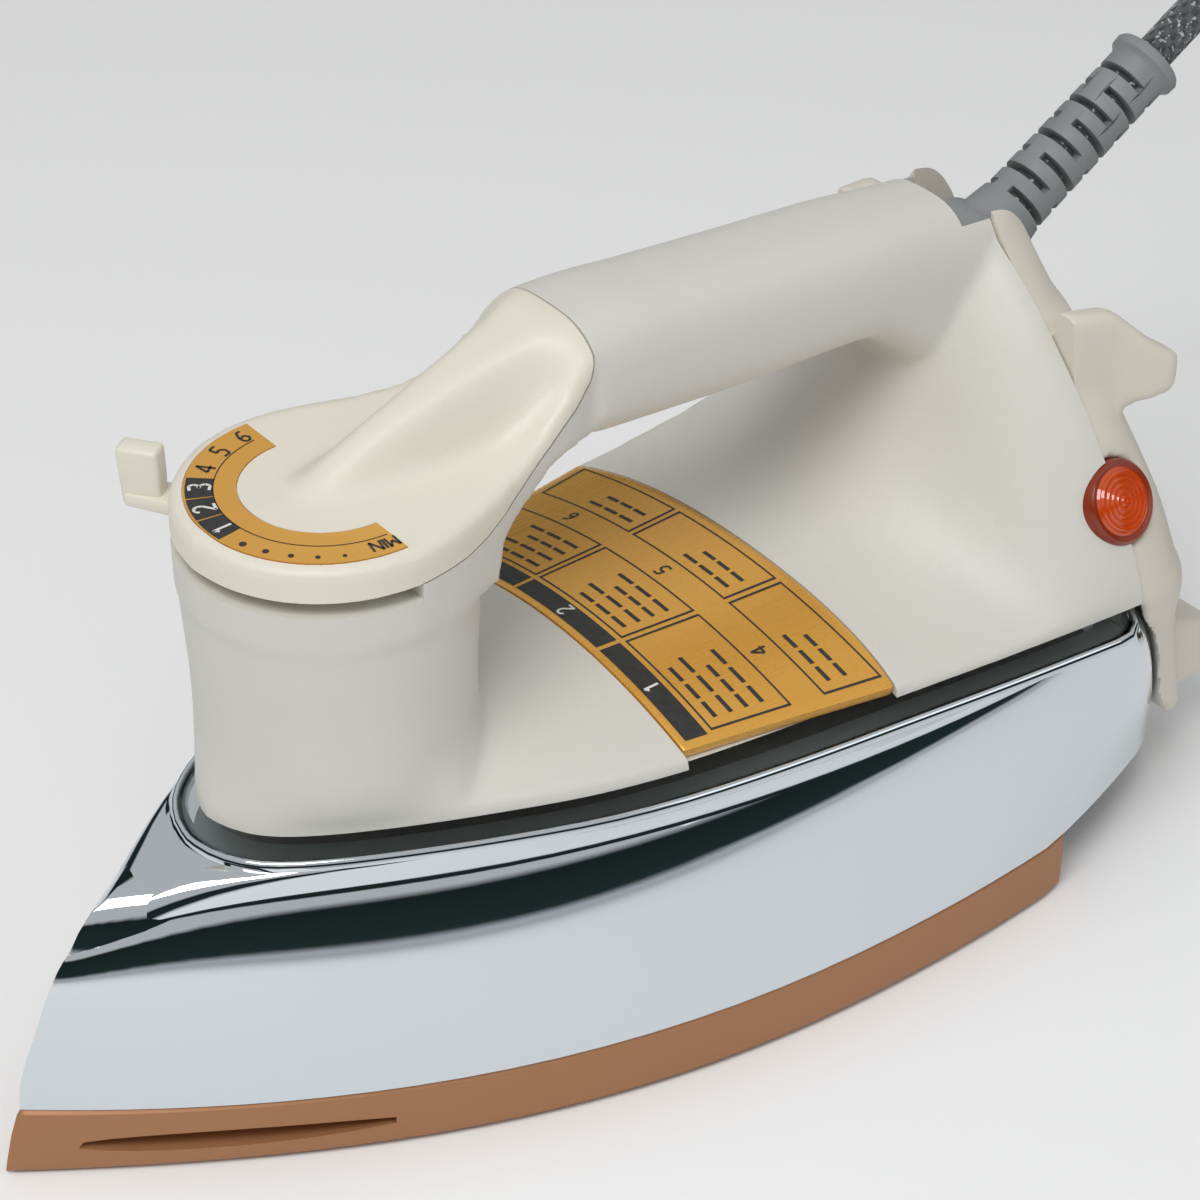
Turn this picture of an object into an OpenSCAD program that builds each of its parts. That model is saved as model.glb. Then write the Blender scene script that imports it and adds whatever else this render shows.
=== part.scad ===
// Heavy dry clothes iron: cast soleplate, chromed cover, moulded handle with a
// temperature lever under a dial cap, a swinging cord guard and a coiled mains lead.
// +X runs from the nose to the heel, +Z up, millimetres, the sole rests on Z = 0.

/* [Sole and cover] */
// Distance from the nose to the heel foot
iron_l = 247; // [245:1:249]
// Where the chromed cover's nose is, ahead of the middle
cover_nose_x = -119.6; // [-120.5:0.1:-119]
// Half of the sole's greatest width
sole_half_w = 55; // [53:1:57]
// Thickness of the soleplate
sole_t = 12; // [11:0.5:13]
// Where the soleplate ends, behind the middle
sole_rear_x = 69; // [64:1:72]
// Where the chromed cover ends, behind the middle
cover_rear_x = 107; // [104:1:108]
// Sheet thickness of the chromed cover
cover_t = 0.9; // [0.7:0.1:1.1]
// Height of the cover's deck
deck_z = 47.8; // [46:0.2:49]

/* [Handle] */
// Height of the handle's lower edge
base_z = 52; // [51.5:0.1:52.5]
// Front end of the handle's lower edge
base_nose_x = -80.5; // [-82:0.5:-79]
// Top of the grip at its front end
grip_top_z = 125; // [124:0.5:126]
// Half of the grip's width
grip_half_w = 13; // [12:0.5:14]
// Wall of the handle mouldings
wall = 3; // [2.6:0.1:3.2]

/* [Temperature control] */
// Place of the control shaft along the iron
dial_x = -55; // [-56:0.5:-54]
// Radius of the dial column at its waist
column_r = 23.4; // [23:0.1:23.8]
// Radius of the dial cap
cap_r = 25; // [24.6:0.1:25.2]
// Reach of the lever from the control shaft
lever_reach = 36; // [34:0.5:38]
// Direction of the lever at rest, from the nose towards the far side
lever_rest_deg = 52; // [50:1:54]

/* [Cord] */
// Diameter of the braided cord
cord_d = 7; // [6.8:0.1:7]
// Upward slope of the cord guard at rest
guard_deg = 31; // [30:0.5:32]
// Radius of the coil at its outer turn
coil_r = 50.5; // [50:0.5:51]

/* [Hidden] */
$fn = 64;

cream = [0.90, 0.88, 0.82];
cream_rear = [0.87, 0.83, 0.77];
copper = [0.62, 0.42, 0.30];
gold = [0.93, 0.68, 0.25];
grey = [0.55, 0.57, 0.58];
steel = [0.68, 0.69, 0.70];
brass = [0.80, 0.64, 0.30];

nose_x = -iron_l / 2;
heel_x = iron_l / 2;
gap = 0.3;              // parting line between mouldings
run = 0.05;             // radial clearance of a running fit

// ---- outlines -------------------------------------------------------------

ring_n = 26;            // steps along each side of a ring

// The chromed cover at rise t: 0 at its lower edge, 1 where the side meets the deck.
function side_nose(t) = cover_nose_x + 16.5 * t;
function side_rear(t) = cover_rear_x - 13 * t;
function side_hw(x, t) =
    let (s = x - side_nose(t), widest = 151.3 + 13.7 * t, w = sole_half_w - 8 * t)
    let (fore = w * (1 - pow(1 - min(max(s, 0), widest) / widest, 2.27)))
    let (aft = w * 0.23 * max(0, 1 - t) * pow(max(0, s - widest) / 88.7, 2))
    let (tuck = 0.104 * max(0, 1 - t) * pow(max(0, x - 60), 1.13))
    fore - aft - tuck;

// The handle's lower edge, grown outward by off.
function base_hw(x, off = 0) =
    let (s = max(0, x - base_nose_x + off), blunt = sqrt(s / (s + 4)))
    39 * (1 - exp(-s / 36)) + 0.055 * s + 5 * blunt * exp(-s / 12) + off * blunt;

// A closed outline from half-widths; the rear corners are rounded over c.
function corner(x, x1, c) = sqrt(max(0, 1 - pow(max(0, (x - x1 + c) / c), 3)));
function steps(x0, x1) = [for (i = [0:ring_n]) x0 + (x1 - x0) * (1 - cos(180 * i / ring_n)) / 2];
function outline(xs, ys) = concat(
    [for (i = [0:ring_n]) [xs[i], -ys[i]]],
    [for (i = [ring_n - 1:-1:1]) [xs[i], ys[i]]]);
function side_outline(t, x1, grow = 0, c = 9) =
    let (xs = steps(side_nose(t) - grow, x1))
    outline(xs, [for (x = xs) max(0, side_hw(x, t) + grow) * corner(x, x1, c)
        * (x <= xs[0] ? 0 : 1)]);
function base_outline(off, x1, c = 10) =
    let (xs = steps(base_nose_x - off, x1))
    outline(xs, [for (x = xs) base_hw(x, off) * corner(x, x1, c)]);

function at_z(pts, z) = [for (p = pts) [p.x, p.y, z]];

// Faces that join rings of n points; a loop of rings has no end caps.
function loft_faces(rings, n, loop = false) = concat(
    [for (i = [0:rings - (loop ? 1 : 2)], j = [0:n - 1])
        let (a = i * n + j, b = i * n + (j + 1) % n)
        let (c = ((i + 1) % rings) * n + (j + 1) % n, d = ((i + 1) % rings) * n + j)
        each [[a, c, b], [a, d, c]]],
    loop ? [] : [[for (j = [0:n - 1]) j], [for (j = [n - 1:-1:0]) (rings - 1) * n + j]]);

module loft(rings, loop = false) {
    polyhedron(
        points = [for (r = rings) each r],
        faces = loft_faces(len(rings), len(rings[0]), loop));
}

module plan(pts, z0, z1) {
    translate([0, 0, z0]) linear_extrude(z1 - z0) polygon(pts);
}

// A side view, given as [x, z] points, made w wide across the iron.
module side_view(pts, w) {
    rotate([90, 0, 0]) linear_extrude(w, center = true) polygon(pts);
}

module bar_x(x0, x1, y, z, r) {
    translate([x0, y, z]) rotate([0, 90, 0]) cylinder(h = x1 - x0, r = r);
}

module screw(r, h, head_r, head_h) {
    cylinder(h = h, r = r);
    translate([0, 0, h]) cylinder(h = head_h, r = head_r);
}

// A tube through the points of a route, with n sides.
function unit(v) = v / norm(v);
function heading(p, i) = unit(p[min(i + 1, len(p) - 1)] - p[max(i - 1, 0)]);
function tube_ring(c, t, r, n) =
    let (side = unit(cross(t, [0, 0, 1])), up = cross(side, t))
    [for (k = [0:n - 1]) c + r * (cos(360 * k / n) * side + sin(360 * k / n) * up)];
module tube(route, r, n) {
    loft([for (i = [0:len(route) - 1]) tube_ring(route[i], heading(route, i), r, n)]);
}

// ---- sole, element and weight --------------------------------------------

element_r = 4;
element_y = 22;
element_front_x = -62;
element_rear_x = 58;
stud_x = [-4, 24];
stud_r = 3;
sheet_t = 0.8;
weight_top_z = 32;
bay_rear_x = -26;       // the thermostat stands ahead of this, in a bay open to the nose
bay_half_w = 15;

module element_path(r) {
    for (side = [-1, 1])
        bar_x(element_front_x, element_rear_x, side * element_y, sole_t, r);
    translate([element_front_x, 0, sole_t]) rotate([0, 0, 90])
        rotate_extrude(angle = 180) translate([element_y, 0]) circle(r, $fn = 32);
}

module stud_holes(r, z0, z1) {
    for (x = stud_x) translate([x, 0, z0]) cylinder(h = z1 - z0, r = r);
}

// The band under the nose that slips beneath buttons.
module button_groove() {
    translate([0, 0, 3.4]) linear_extrude(3.6) difference() {
        polygon(side_outline(0, sole_rear_x, 2, 3));
        polygon(side_outline(0, sole_rear_x, -1.6, 3));
        translate([-74, -100]) square([200, 200]);
    }
}

// The sole's nose leans forward: it is longest at the floor.
module sole_form() {
    xs = steps(nose_x, sole_rear_x);
    stretch = (60 - cover_nose_x) / (60 - nose_x);
    difference() {
        plan(outline(xs, [for (x = xs) side_hw(max(x, 60 + (x - 60) * stretch), 0)
            * corner(x, sole_rear_x, 3) * (x <= nose_x ? 0 : 1)]), 0, sole_t);
        side_view([[nose_x - 1, -0.1], [nose_x, -0.1], [nose_x + 3.4, sole_t + 0.1],
            [nose_x - 1, sole_t + 0.1]], 40);
    }
}

module soleplate() {
    color(copper) difference() {
        sole_form();
        button_groove();
        element_path(element_r + run);
        stud_holes(stud_r, 4, sole_t + 1);
        translate([-76.1, -9.1, sole_t - 1.5]) cube([46.2, 18.2, 3]);
        translate([dial_x - 6.1, -12.1, sole_t - 1.5]) cube([12.2, 24.2, 3]);
    }
}

module heating_element() {
    color(steel) element_path(element_r);
}

module element_terminals() {
    color(brass) for (side = [-1, 1]) {
        bar_x(element_rear_x, element_rear_x + 9, side * element_y, sole_t + 1.5, 1.5);
        translate([element_rear_x + 9, side * element_y - 3, sole_t]) cube([1.2, 6, 9]);
    }
}

module insulating_sheet() {
    sheet_half_w = element_y - element_r - 0.4;
    color([0.80, 0.76, 0.68]) difference() {
        translate([bay_rear_x, -sheet_half_w, sole_t])
            cube([54 - bay_rear_x, 2 * sheet_half_w, sheet_t]);
        stud_holes(stud_r + 0.4, 0, 20);
    }
}

module weight_block() {
    color([0.32, 0.32, 0.33]) difference() {
        plan(side_outline(1.7, 56, 0, 4), sole_t + sheet_t, weight_top_z);
        element_path(element_r + run);
        stud_holes(stud_r + 0.4, 0, 60);
        translate([nose_x, -bay_half_w, 0]) cube([bay_rear_x - nose_x, 2 * bay_half_w, 60]);
    }
}

module clamp_studs() {
    color(steel) stud_holes(stud_r, 4, 60);
}

module nuts(z) {
    for (x = stud_x) translate([x, 0, z]) difference() {
        cylinder(h = 5, r = 6, $fn = 6);
        translate([0, 0, -1]) cylinder(h = 7, r = stud_r);
    }
}

module clamp_nuts() {
    color(steel) nuts(weight_top_z);
}

// ---- chromed cover --------------------------------------------------------

// Rise t and height of each ring of the side, from the lower edge to the deck.
side_levels = [[0, 12], [0.04, 18], [0.28, 26], [0.42, 31], [0.62, 38], [0.8, 43.5], [0.92, 46.3],
    [1, 47.8]];
lip_off = 4;            // how far the lip stands outside the handle's edge
lip_h = 1.6;            // height of the lip above the deck
opening_off = -6;       // the cover's opening, hidden inside the handle's edge

function side_ring(lv, inset, drop) =
    at_z(side_outline(lv[0] + inset / 16, side_rear(lv[0]) - inset, 0, 16),
        sole_t + (lv[1] - drop - 12) * (deck_z - sole_t) / 35.8);
function deck_ring(off, z, x1) = at_z(base_outline(off, x1, 16), z);

module chrome_cover() {
    lip_z = deck_z + lip_h;
    outer = concat(
        [for (lv = side_levels) side_ring(lv, 0, 0)],
        [deck_ring(lip_off + 0.6, deck_z + 0.3, 90), deck_ring(lip_off, lip_z, 89.5),
            deck_ring(lip_off - 1, lip_z, 88.5), deck_ring(lip_off - 1.6, deck_z + 0.2, 88),
            deck_ring(opening_off, deck_z, 82)]);
    inner = concat(
        [deck_ring(opening_off, deck_z - cover_t, 82),
            deck_ring(lip_off, deck_z - cover_t, 87)],
        [for (i = [len(side_levels) - 2:-1:1]) side_ring(side_levels[i], 1, cover_t * 0.8)],
        [side_ring(side_levels[0], 1, 0)]);
    color([0.80, 0.82, 0.84]) loft(concat(outer, inner), true);
}

shield_z = deck_z - cover_t - 1.2;
module heat_shield() {
    color([0.60, 0.61, 0.62]) difference() {
        plan(base_outline(-1, 80, 8), shield_z, shield_z + 1.2);
        stud_holes(stud_r + 0.5, 0, 60);
        translate([dial_x, 0, 0]) cylinder(h = 60, r = 9);
        translate([60, 0, 0]) cylinder(h = 60, r = 12);
    }
}

// ---- thermostat -----------------------------------------------------------

blade_x0 = -74;         // clamped end of the blades
blade_w = 9;
blade_t = 0.6;
arm_pivot = [blade_x0 + 6, 25.5];

module thermostat_base() {
    color(steel) difference() {
        union() {
            translate([-76, -9, sole_t - 1.5]) cube([46, 18, 2]);
            for (side = [-1, 1]) translate([dial_x - 6, side * 11 - 1, sole_t - 1.5])
                cube([12, 2, 24]);
            for (side = [-1, 1]) translate([dial_x - 6, side * 10 - 2, sole_t - 1.5])
                cube([12, 4, 2]);
            translate([dial_x - 6, -12, sole_t + 20.5]) cube([12, 24, 2]);
        }
        translate([dial_x, 0, 30]) cylinder(h = 10, r = 4);
        translate([blade_x0 + 3, 0, 0]) cylinder(h = 20, r = 1.5);
    }
}

module bimetal_blade() {
    color([0.72, 0.62, 0.50]) difference() {
        translate([blade_x0, -blade_w / 2, 16]) cube([34, blade_w, 1]);
        translate([blade_x0 + 3, 0, 0]) cylinder(h = 40, r = 1.5);
    }
}

module fixed_contact_blade() {
    color(brass) difference() {
        union() {
            translate([blade_x0, -blade_w / 2, 20]) cube([38, blade_w, blade_t]);
            translate([blade_x0 + 34, 0, 20 + blade_t]) cylinder(h = 1.2, r = 2);
        }
        translate([blade_x0 + 3, 0, 0]) cylinder(h = 40, r = 1.5);
    }
}

module moving_contact_blade() {
    color(brass) {
        translate([arm_pivot.x, -blade_w / 2, 25.2]) cube([30, blade_w, blade_t]);
        translate([blade_x0 + 34, 0, 22.4]) cylinder(h = 2.8, r = 2);
        translate([cam_bump_x, 0, 25.4]) cylinder(h = 1.2, r = 0.8);
        translate([arm_pivot.x, 0, arm_pivot.y]) rotate([90, 0, 0])
            cylinder(h = 12.6, r = 1, center = true);
    }
}

module contact_insulators() {
    color([0.92, 0.90, 0.85]) difference() {
        union() {
            for (z = [[12.5, 16], [17, 20], [20 + blade_t, 24.2]])
                translate([blade_x0 + 3, 0, z[0]]) cylinder(h = z[1] - z[0], r = 3);
            translate([blade_x0, -6.5, 24.2]) cube([5.9, 13, 2.6]);
            for (side = [-1, 1]) translate([blade_x0 + 5, side * 5.8 - 0.9, 23.4])
                cube([3, 1.8, 4.2]);
        }
        translate([blade_x0 + 3, 0, 0]) cylinder(h = 40, r = 1.5);
        translate([arm_pivot.x, 0, arm_pivot.y]) rotate([90, 0, 0])
            cylinder(h = 20, r = 1 + run, center = true);
    }
}

module thermostat_rivet() {
    color(steel) {
        translate([blade_x0 + 3, 0, sole_t - 1.5]) cylinder(h = 16.3, r = 1.5);
        translate([blade_x0 + 3, 0, 26.8]) cylinder(h = 1, r = 2.6);
    }
}

module screw_bush() {
    color(brass) translate([dial_x, 0, 30.5]) difference() {
        union() {
            cylinder(h = 6, r = 4);
            translate([0, 0, 4]) cylinder(h = 2, r = 6);
        }
        translate([0, 0, -1]) cylinder(h = 10, r = 2.5 + run);
    }
}

// A face cam: its slanted lower face bears on the bump of the moving blade.
cam_bump_x = dial_x + 3.4;
cam_tilt = 4.95;
cam_face_z = 26.89;
module control_cam() {
    color(steel) translate([dial_x, 0, 0]) {
        difference() {
            translate([0, 0, cam_face_z - 1]) cylinder(h = 2.7, r = 4.6);
            translate([0, 0, cam_face_z]) rotate([0, 0, 36.5]) rotate([0, cam_tilt, 0])
                translate([-10, -10, -10]) cube([20, 20, 10]);
        }
        translate([0, 0, cam_face_z + 1.6]) cylinder(h = 11, r = 2.5);
        translate([0, 0, cam_face_z + 12.5]) difference() {
            cylinder(h = 12, r = 5);
            translate([-3.05, -3.05, 2]) cube([6.1, 6.1, 12]);
        }
    }
}

shaft_z0 = 43;
slot_z0 = 98.8;         // the lever's slot, below the cap
slot_z1 = 102;
lever_t = 2.4;

module control_shaft() {
    color(steel) translate([dial_x, 0, 0]) {
        translate([-3, -3, shaft_z0]) cube([6, 6, 14]);
        translate([0, 0, shaft_z0 + 14]) cylinder(h = slot_z0 - shaft_z0 - 13.7, r = 4);
        translate([0, 0, slot_z0 + 0.3]) cylinder(h = 5.4, r = 3);
    }
}

module temperature_lever() {
    z0 = slot_z0 + 0.3;
    color(cream) translate([dial_x, 0, z0]) rotate([0, 0, 180 - lever_rest_deg]) difference() {
        union() {
            cylinder(h = lever_t, r = 10);
            translate([0, -4, 0]) cube([lever_reach - 2, 8, lever_t]);
            translate([lever_reach - 9, -2.2, 0]) cube([7.5, 4.4, 10.6]);
        }
        translate([0, 0, -1]) cylinder(h = lever_t + 2, r = 3);
    }
}

// ---- handle form ----------------------------------------------------------

// Height of the handle's ridge along the iron, above its lower edge.
ridge = [[-81, 53], [-40, 64], [-12, 64], [30, 63], [38, 67], [45, 75], [52, 84], [58, 92], [64, 101],
    [72, 112], [80, 118], [86, 118]];
// How square (a) and how hollow (b) the flanks are, along the iron.
flank_a = [[30, 2], [45, 1.7], [57, 1.5], [90, 1.5]];
flank_b = [[30, 1], [45, 1.3], [57, 1.6], [68, 1.4], [80, 0.8], [90, 0.8]];
section_n = 12;

function flank_z(x, q, t) =
    let (a = lookup(x, flank_a), b = lookup(x, flank_b), top = lookup(x, ridge) - t)
    base_z + t / 2 + (top - base_z) * pow(max(0, 1 - pow(abs(q), a)), b);
function section(x, t) = concat(
    [for (k = [-section_n:section_n]) let (q = -sin(90 * k / section_n))
        [x, q * (base_hw(x, 0) - t), flank_z(x, q, t)]],
    [[x, -base_hw(x, 0) + t, base_z - 0.01 * (t + 1)], [x, base_hw(x, 0) - t, base_z - 0.01 * (t + 1)]]);
section_x = [-74, -62, -50, -38, -24, -10, 12, 30, 36, 41, 46, 52, 58, 64, 70, 76, 81, 87];

module lower_form(t) {
    loft([for (x = section_x) section(x + (x < -70 ? t : 0), t)]);
}

module column_form(t) {
    translate([dial_x, 0, 0]) rotate_extrude($fn = 96) polygon([
        [0, base_z], [column_r + 1.2 - t, base_z], [column_r + 0.3 - t, 58], [column_r - t, 66],
        [column_r - t, 76], [column_r + 0.6 - t, 86], [column_r + 1.2 - t, 95],
        [column_r + 1.2 - t, slot_z1], [0, slot_z1]]);
}

module grip_form(t) {
    side_view([[-30, 98 + t], [-18, 103 + t], [-8, 103 + t], [50, 98 + t], [70, 94 + t], [84, 94 + t],
        [87, 116 - t], [80, 119 - t], [66, 119.5 - t], [20, 122.5 - t], [-12, grip_top_z - t],
        [-30, 112 - t]], 2 * (grip_half_w - t));
}

module shoulder_form(t) {
    intersection() {
        side_view([[dial_x - 26, slot_z1], [-24, slot_z1], [-8, 104 + t], [-8, 118 - t],
            [-24, 112 - t], [-45, 107 - t], [dial_x - 26, 107 - t]], 60);
        plan([[dial_x, cap_r - t], [-42, 22 - t], [-30, 16.5 - t], [-8, grip_half_w - t],
            [-8, t - grip_half_w], [-30, t - 16.5], [-42, t - 22], [dial_x, t - cap_r]], 90, 130);
    }
}

module handle_form(t) {
    lower_form(t);
    column_form(t);
    grip_form(t);
    shoulder_form(t);
}

// The parting line under the cap, as a side view; g opens the gap.
module cap_zone(g) {
    side_view([[dial_x - 30, slot_z1 + g], [-40, slot_z1 + g], [-33, 104 + g], [-24, 109 + g],
        [-16, 115 + g], [-11.6 - g, 119 + g], [-11.6 - g, 140], [dial_x - 30, 140]], 70);
}

// Everything behind the parting line of the rear cover.
function seam_x(z) = 77.8 + (116 - z) * 0.07;
module rear_zone(g) {
    side_view([[seam_x(130) + g, 130], [seam_x(10) + g, 10], [150, 10], [150, 130]], 120);
}

module dial_cap() {
    color(cream) difference() {
        intersection() {
            union() {
                translate([dial_x, 0, slot_z1]) cylinder(h = 108 - slot_z1, r = cap_r, $fn = 96);
                shoulder_form(0);
                grip_form(0);
                intersection() {
                    side_view([[-62, 105], [-50, 110], [-40, 115], [-28, 121], [-10, grip_top_z],
                        [-10, 104], [-62, 104]], 60);
                    plan([[-63, 0], [-58, 4], [-40, 7], [-10, 11], [-10, -11], [-40, -7], [-58, -4]],
                        100, 130);
                }
            }
            cap_zone(0);
        }
        translate([dial_x, 0, slot_z1 - 1]) cylinder(h = 3, r = 21);
        translate([dial_x, 0, 98]) cylinder(h = 7.6, r = 3 + run);
        scale_recess();
        difference() {
            translate([-36, -9, 100]) cube([20, 18, 12]);
            cap_screw_places() translate([0, 0, -10]) cylinder(h = 30, r = 3.2);
        }
        cap_screw_places() cylinder(h = 8, r = 1.5);
    }
    color(cream) cap_screw_places() difference() {
        translate([0, 0, 0.2]) cylinder(h = 7, r = 3.2);
        cylinder(h = 8, r = 1.5);
    }
}

cap_screw_at = [-24, 5.5, 104];
module cap_screw_places() {
    for (side = [-1, 1]) translate([cap_screw_at.x, side * cap_screw_at.y, cap_screw_at.z])
        children();
}
module cap_screws() {
    color(steel) cap_screw_places() {
        cylinder(h = 8, r = 1.5);
        translate([0, 0, -1.4]) cylinder(h = 1.4, r = 2.6);
    }
}

scale_ri = 14;
scale_ro = 22.3;
module scale_band(r0, r1, z0, z1) {
    translate([dial_x, 0, 0]) rotate([0, 0, 90]) rotate_extrude(angle = 180, $fn = 96)
        translate([r0, z0]) square([r1 - r0, z1 - z0]);
}

module scale_recess() {
    scale_band(scale_ri - 0.1, scale_ro + 0.1, 107.3, 112);
}

module scale_plate() {
    color(gold) scale_band(scale_ri, scale_ro, 107.3, 107.8);
}

// The label lies on a wide arch across the saddle.
label_r = 79;
label_z = 63.5;
label_t = 3;
module label_arch(r, t) {
    translate([-40, 0, label_z - label_r]) rotate([0, 90, 0]) difference() {
        cylinder(h = 100, r = r, $fn = 128);
        translate([0, 0, -1]) cylinder(h = 102, r = r - t, $fn = 128);
    }
}
module label_plan(g) {
    plan([[-11.4 - g, -36.3], [-11.4 - g, 36.3], [30 + g, 43.2], [30 + g, -43.2]], base_z - 1.2, 80);
}

module label_plate() {
    color(gold) intersection() {
        label_arch(label_r, label_t);
        label_plan(0);
    }
}

guard_pivot = [82, 0, 101.6];
guard_l = 49.7;
drum_r = 8.8;
drum_w = 13;
trunnion_r = 3;
lens_c = [81.3, -42.6, 71.8];
lens_r = 7.8;

module at_lens() {
    translate(lens_c) rotate([0, 0, 4]) rotate([90 - 30, 0, 0]) children();
}

module pocket() {
    translate([70.5, -9.8, 88]) cube([23, 19.6, 40]);
    translate([76, -8, 92.5]) cube([30, 16, 40]);
}

module handle_body() {
    color(cream) difference() {
        handle_form(0);
        difference() {
            handle_form(wall);
            translate([dial_x, 0, 40]) cylinder(h = 20, r = 8);
            translate([dial_x - 24, -1, 40]) cube([48, 2, 20]);
            translate([-35.5, -30, 66]) cube([3, 60, 26]);
        }
        translate([dial_x, 0, 0]) cylinder(h = 120, r = 4.3);
        translate([dial_x, 0, slot_z0]) rotate([0, 0, 78]) rotate_extrude(angle = 204, $fn = 96)
            square([40, slot_z1 - slot_z0 + 1]);
        translate([dial_x, 0, slot_z0]) cylinder(h = 20, r = 21);
        cap_zone(-0.01);
        rear_zone(-gap);
        label_plan(gap);
        pocket();
        at_lens() translate([0, 0, -14]) cylinder(h = 30, r = lens_r + 0.2);
        cap_screw_places() translate([0, 0, -10]) cylinder(h = 13.2, r = 3.4);
    }
    color(cream) difference() {
        intersection() {
            lower_form(0.02);
            label_plan(gap + 1);
        }
        label_arch(label_r + 30, label_t + 30 + gap);
        for (x = stud_x) translate([x, 0, 0]) cylinder(h = 80, r = stud_r + 0.4);
        for (x = stud_x) translate([x, 0, 55]) cylinder(h = 80, r = 7);
    }
}

module handle_nuts() {
    color(steel) for (x = stud_x) translate([x, 0, 55]) difference() {
        cylinder(h = 3.6, r = 6, $fn = 6);
        translate([0, 0, -1]) cylinder(h = 7, r = stud_r);
    }
}

// ---- rear cover -----------------------------------------------------------

// Back of the iron in side view, from the top down to the heel.
back = [[86, 117.5], [88.5, 112], [92, 98], [96, 84], [101, 68], [105, 52], [108, 36], [110, 27]];
foot_z = 17;
leg_front = [[84, 52], [94, 51], [98, 38], [107, foot_z + 1]];

module rear_side(t) {
    side_view(concat([[70, 117.5 - t]], [for (p = back) [p.x - t, p.y - (p.y > 110 ? t : 0)]],
        [[110 - t, foot_z - 1]], [for (i = [3:-1:0]) leg_front[i] + [0, t > 0 ? -4 : 0]],
        [[70, 52]]), 120);
}

// Half-widths of the rear cover against height, as an end view.
end_half_w = [[4, 118.5], [9, 117.5], [12, 116], [16, 112], [21, 105], [24.5, 99.5], [30.5, 89.5],
    [38, 79.5], [43, 72], [46.5, 65], [48.3, 54], [46, 40], [43, 16]];
module end_view(t) {
    pts = concat([for (p = end_half_w) [p.x - t, p.y]],
        [for (i = [len(end_half_w) - 1:-1:0]) [-end_half_w[i].x + t, end_half_w[i].y]]);
    translate([60, 0, 0]) rotate([90, 0, 90]) linear_extrude(70) polygon(pts);
}

module heel_pegs() {
    for (side = [-1, 1]) intersection() {
        side_view([[84, 104], [88, 103], [96, 94.5], [98.6, 93], [99.6, 86], [96, 84], [88, 82]], 120);
        translate([80, side * 33 - 6, 78]) cube([30, 12, 34]);
    }
}

module heel_foot() {
    difference() {
        side_view([[108.4, foot_z + 1], [112, foot_z], [heel_x, foot_z + 1], [heel_x, foot_z + 7],
            [110, 31], [105, 34]], 2 * 38);
        translate([114, -20, 0]) cube([20, 40, 60]);
    }
}

// Under-head face, height and length of each rear screw.
rear_screws = [[105.5, 44, 7.5], [94, 82, 12]];
rear_screw_r = 2;

module rear_cover() {
    color(cream_rear) difference() {
        union() {
            difference() {
                intersection() {
                    rear_side(0);
                    end_view(0);
                    rear_zone(0);
                }
                intersection() {
                    rear_side(wall);
                    end_view(wall);
                    rear_zone(-5);
                }
            }
            intersection() {
                heel_pegs();
                rear_zone(0);
            }
            heel_foot();
        }
        pocket();
        at_lens() translate([0, 0, -14]) cylinder(h = 30, r = lens_r + 0.2);
        for (s = rear_screws) bar_x(70, 130, 0, s[1], rear_screw_r + 0.2);
        for (s = rear_screws) bar_x(s[0], 130, 0, s[1], 4.4);
    }
}

module rear_cover_screws() {
    color(steel) for (s = rear_screws) {
        bar_x(s[0] - s[2], s[0], 0, s[1], rear_screw_r);
        bar_x(s[0], s[0] + 1.8, 0, s[1], 4);
    }
}

// ---- lamp and wiring ------------------------------------------------------

module pilot_lens() {
    color([0.90, 0.30, 0.05]) at_lens() difference() {
        union() {
            translate([0, 0, -6]) cylinder(h = 9, r = lens_r);
            translate([0, 0, 3]) cylinder(h = 1, r = lens_r - 1);
        }
        translate([0, 0, -7]) cylinder(h = 9, r = lens_r - 1.4);
        for (k = [1:5]) translate([0, 0, 3.4]) difference() {
            cylinder(h = 2, r = 1.4 * k);
            translate([0, 0, -1]) cylinder(h = 4, r = 1.4 * k - 0.7);
        }
    }
}

module neon_lamp() {
    color([0.95, 0.60, 0.45]) at_lens() translate([0, 0, -7]) {
        cylinder(h = 6, r = 2.8);
        sphere(2.8);
    }
}

module lamp_resistor() {
    color([0.55, 0.70, 0.75]) bar_x(60, 70, -20, 62, 1.8);
    color(steel) bar_x(55, 75, -20, 62, 0.4);
}

block_at = [66, 0, 66];
module terminal_block() {
    color([0.85, 0.85, 0.80]) translate(block_at) difference() {
        translate([-5, -15, -6]) cube([10, 30, 12]);
        for (y = [-10, 0, 10]) {
            translate([0, y, 0]) rotate([0, 90, 0]) cylinder(h = 20, r = 2.4, center = true);
            translate([0, y, 0]) cylinder(h = 10, r = 1.6);
        }
    }
}

module terminal_screws() {
    color(brass) for (y = [-10, 0, 10]) translate(block_at + [0, y, 1.6]) screw(1.6, 3, 1.6, 1);
}

module thermal_fuse() {
    color([0.80, 0.80, 0.70]) bar_x(20, 32, 15, 42, 2);
    color(steel) bar_x(12, 40, 15, 42, 0.5);
}

lead_r = 1.4;
live_route = [[71, -10, 66], [76, -10, 66], [79, -9, 70], [80, -7, 76], [80, -5, 82], [79, -3, 87]];
neutral_route = [[71, 10, 66], [76, 10, 66], [79, 9, 70], [80, 7, 76], [80, 5, 82], [79, 3, 87]];
earth_route = [[71, 0, 66], [75, 0, 67], [78, 0, 71], [79, 0, 77], [79, 0, 83], [80, 0, 87]];

module live_lead() { color([0.45, 0.28, 0.18]) tube(live_route, lead_r, 10); }
module neutral_lead() { color([0.20, 0.35, 0.65]) tube(neutral_route, lead_r, 10); }
module earth_lead() { color([0.35, 0.60, 0.25]) tube(earth_route, lead_r, 10); }

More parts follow.
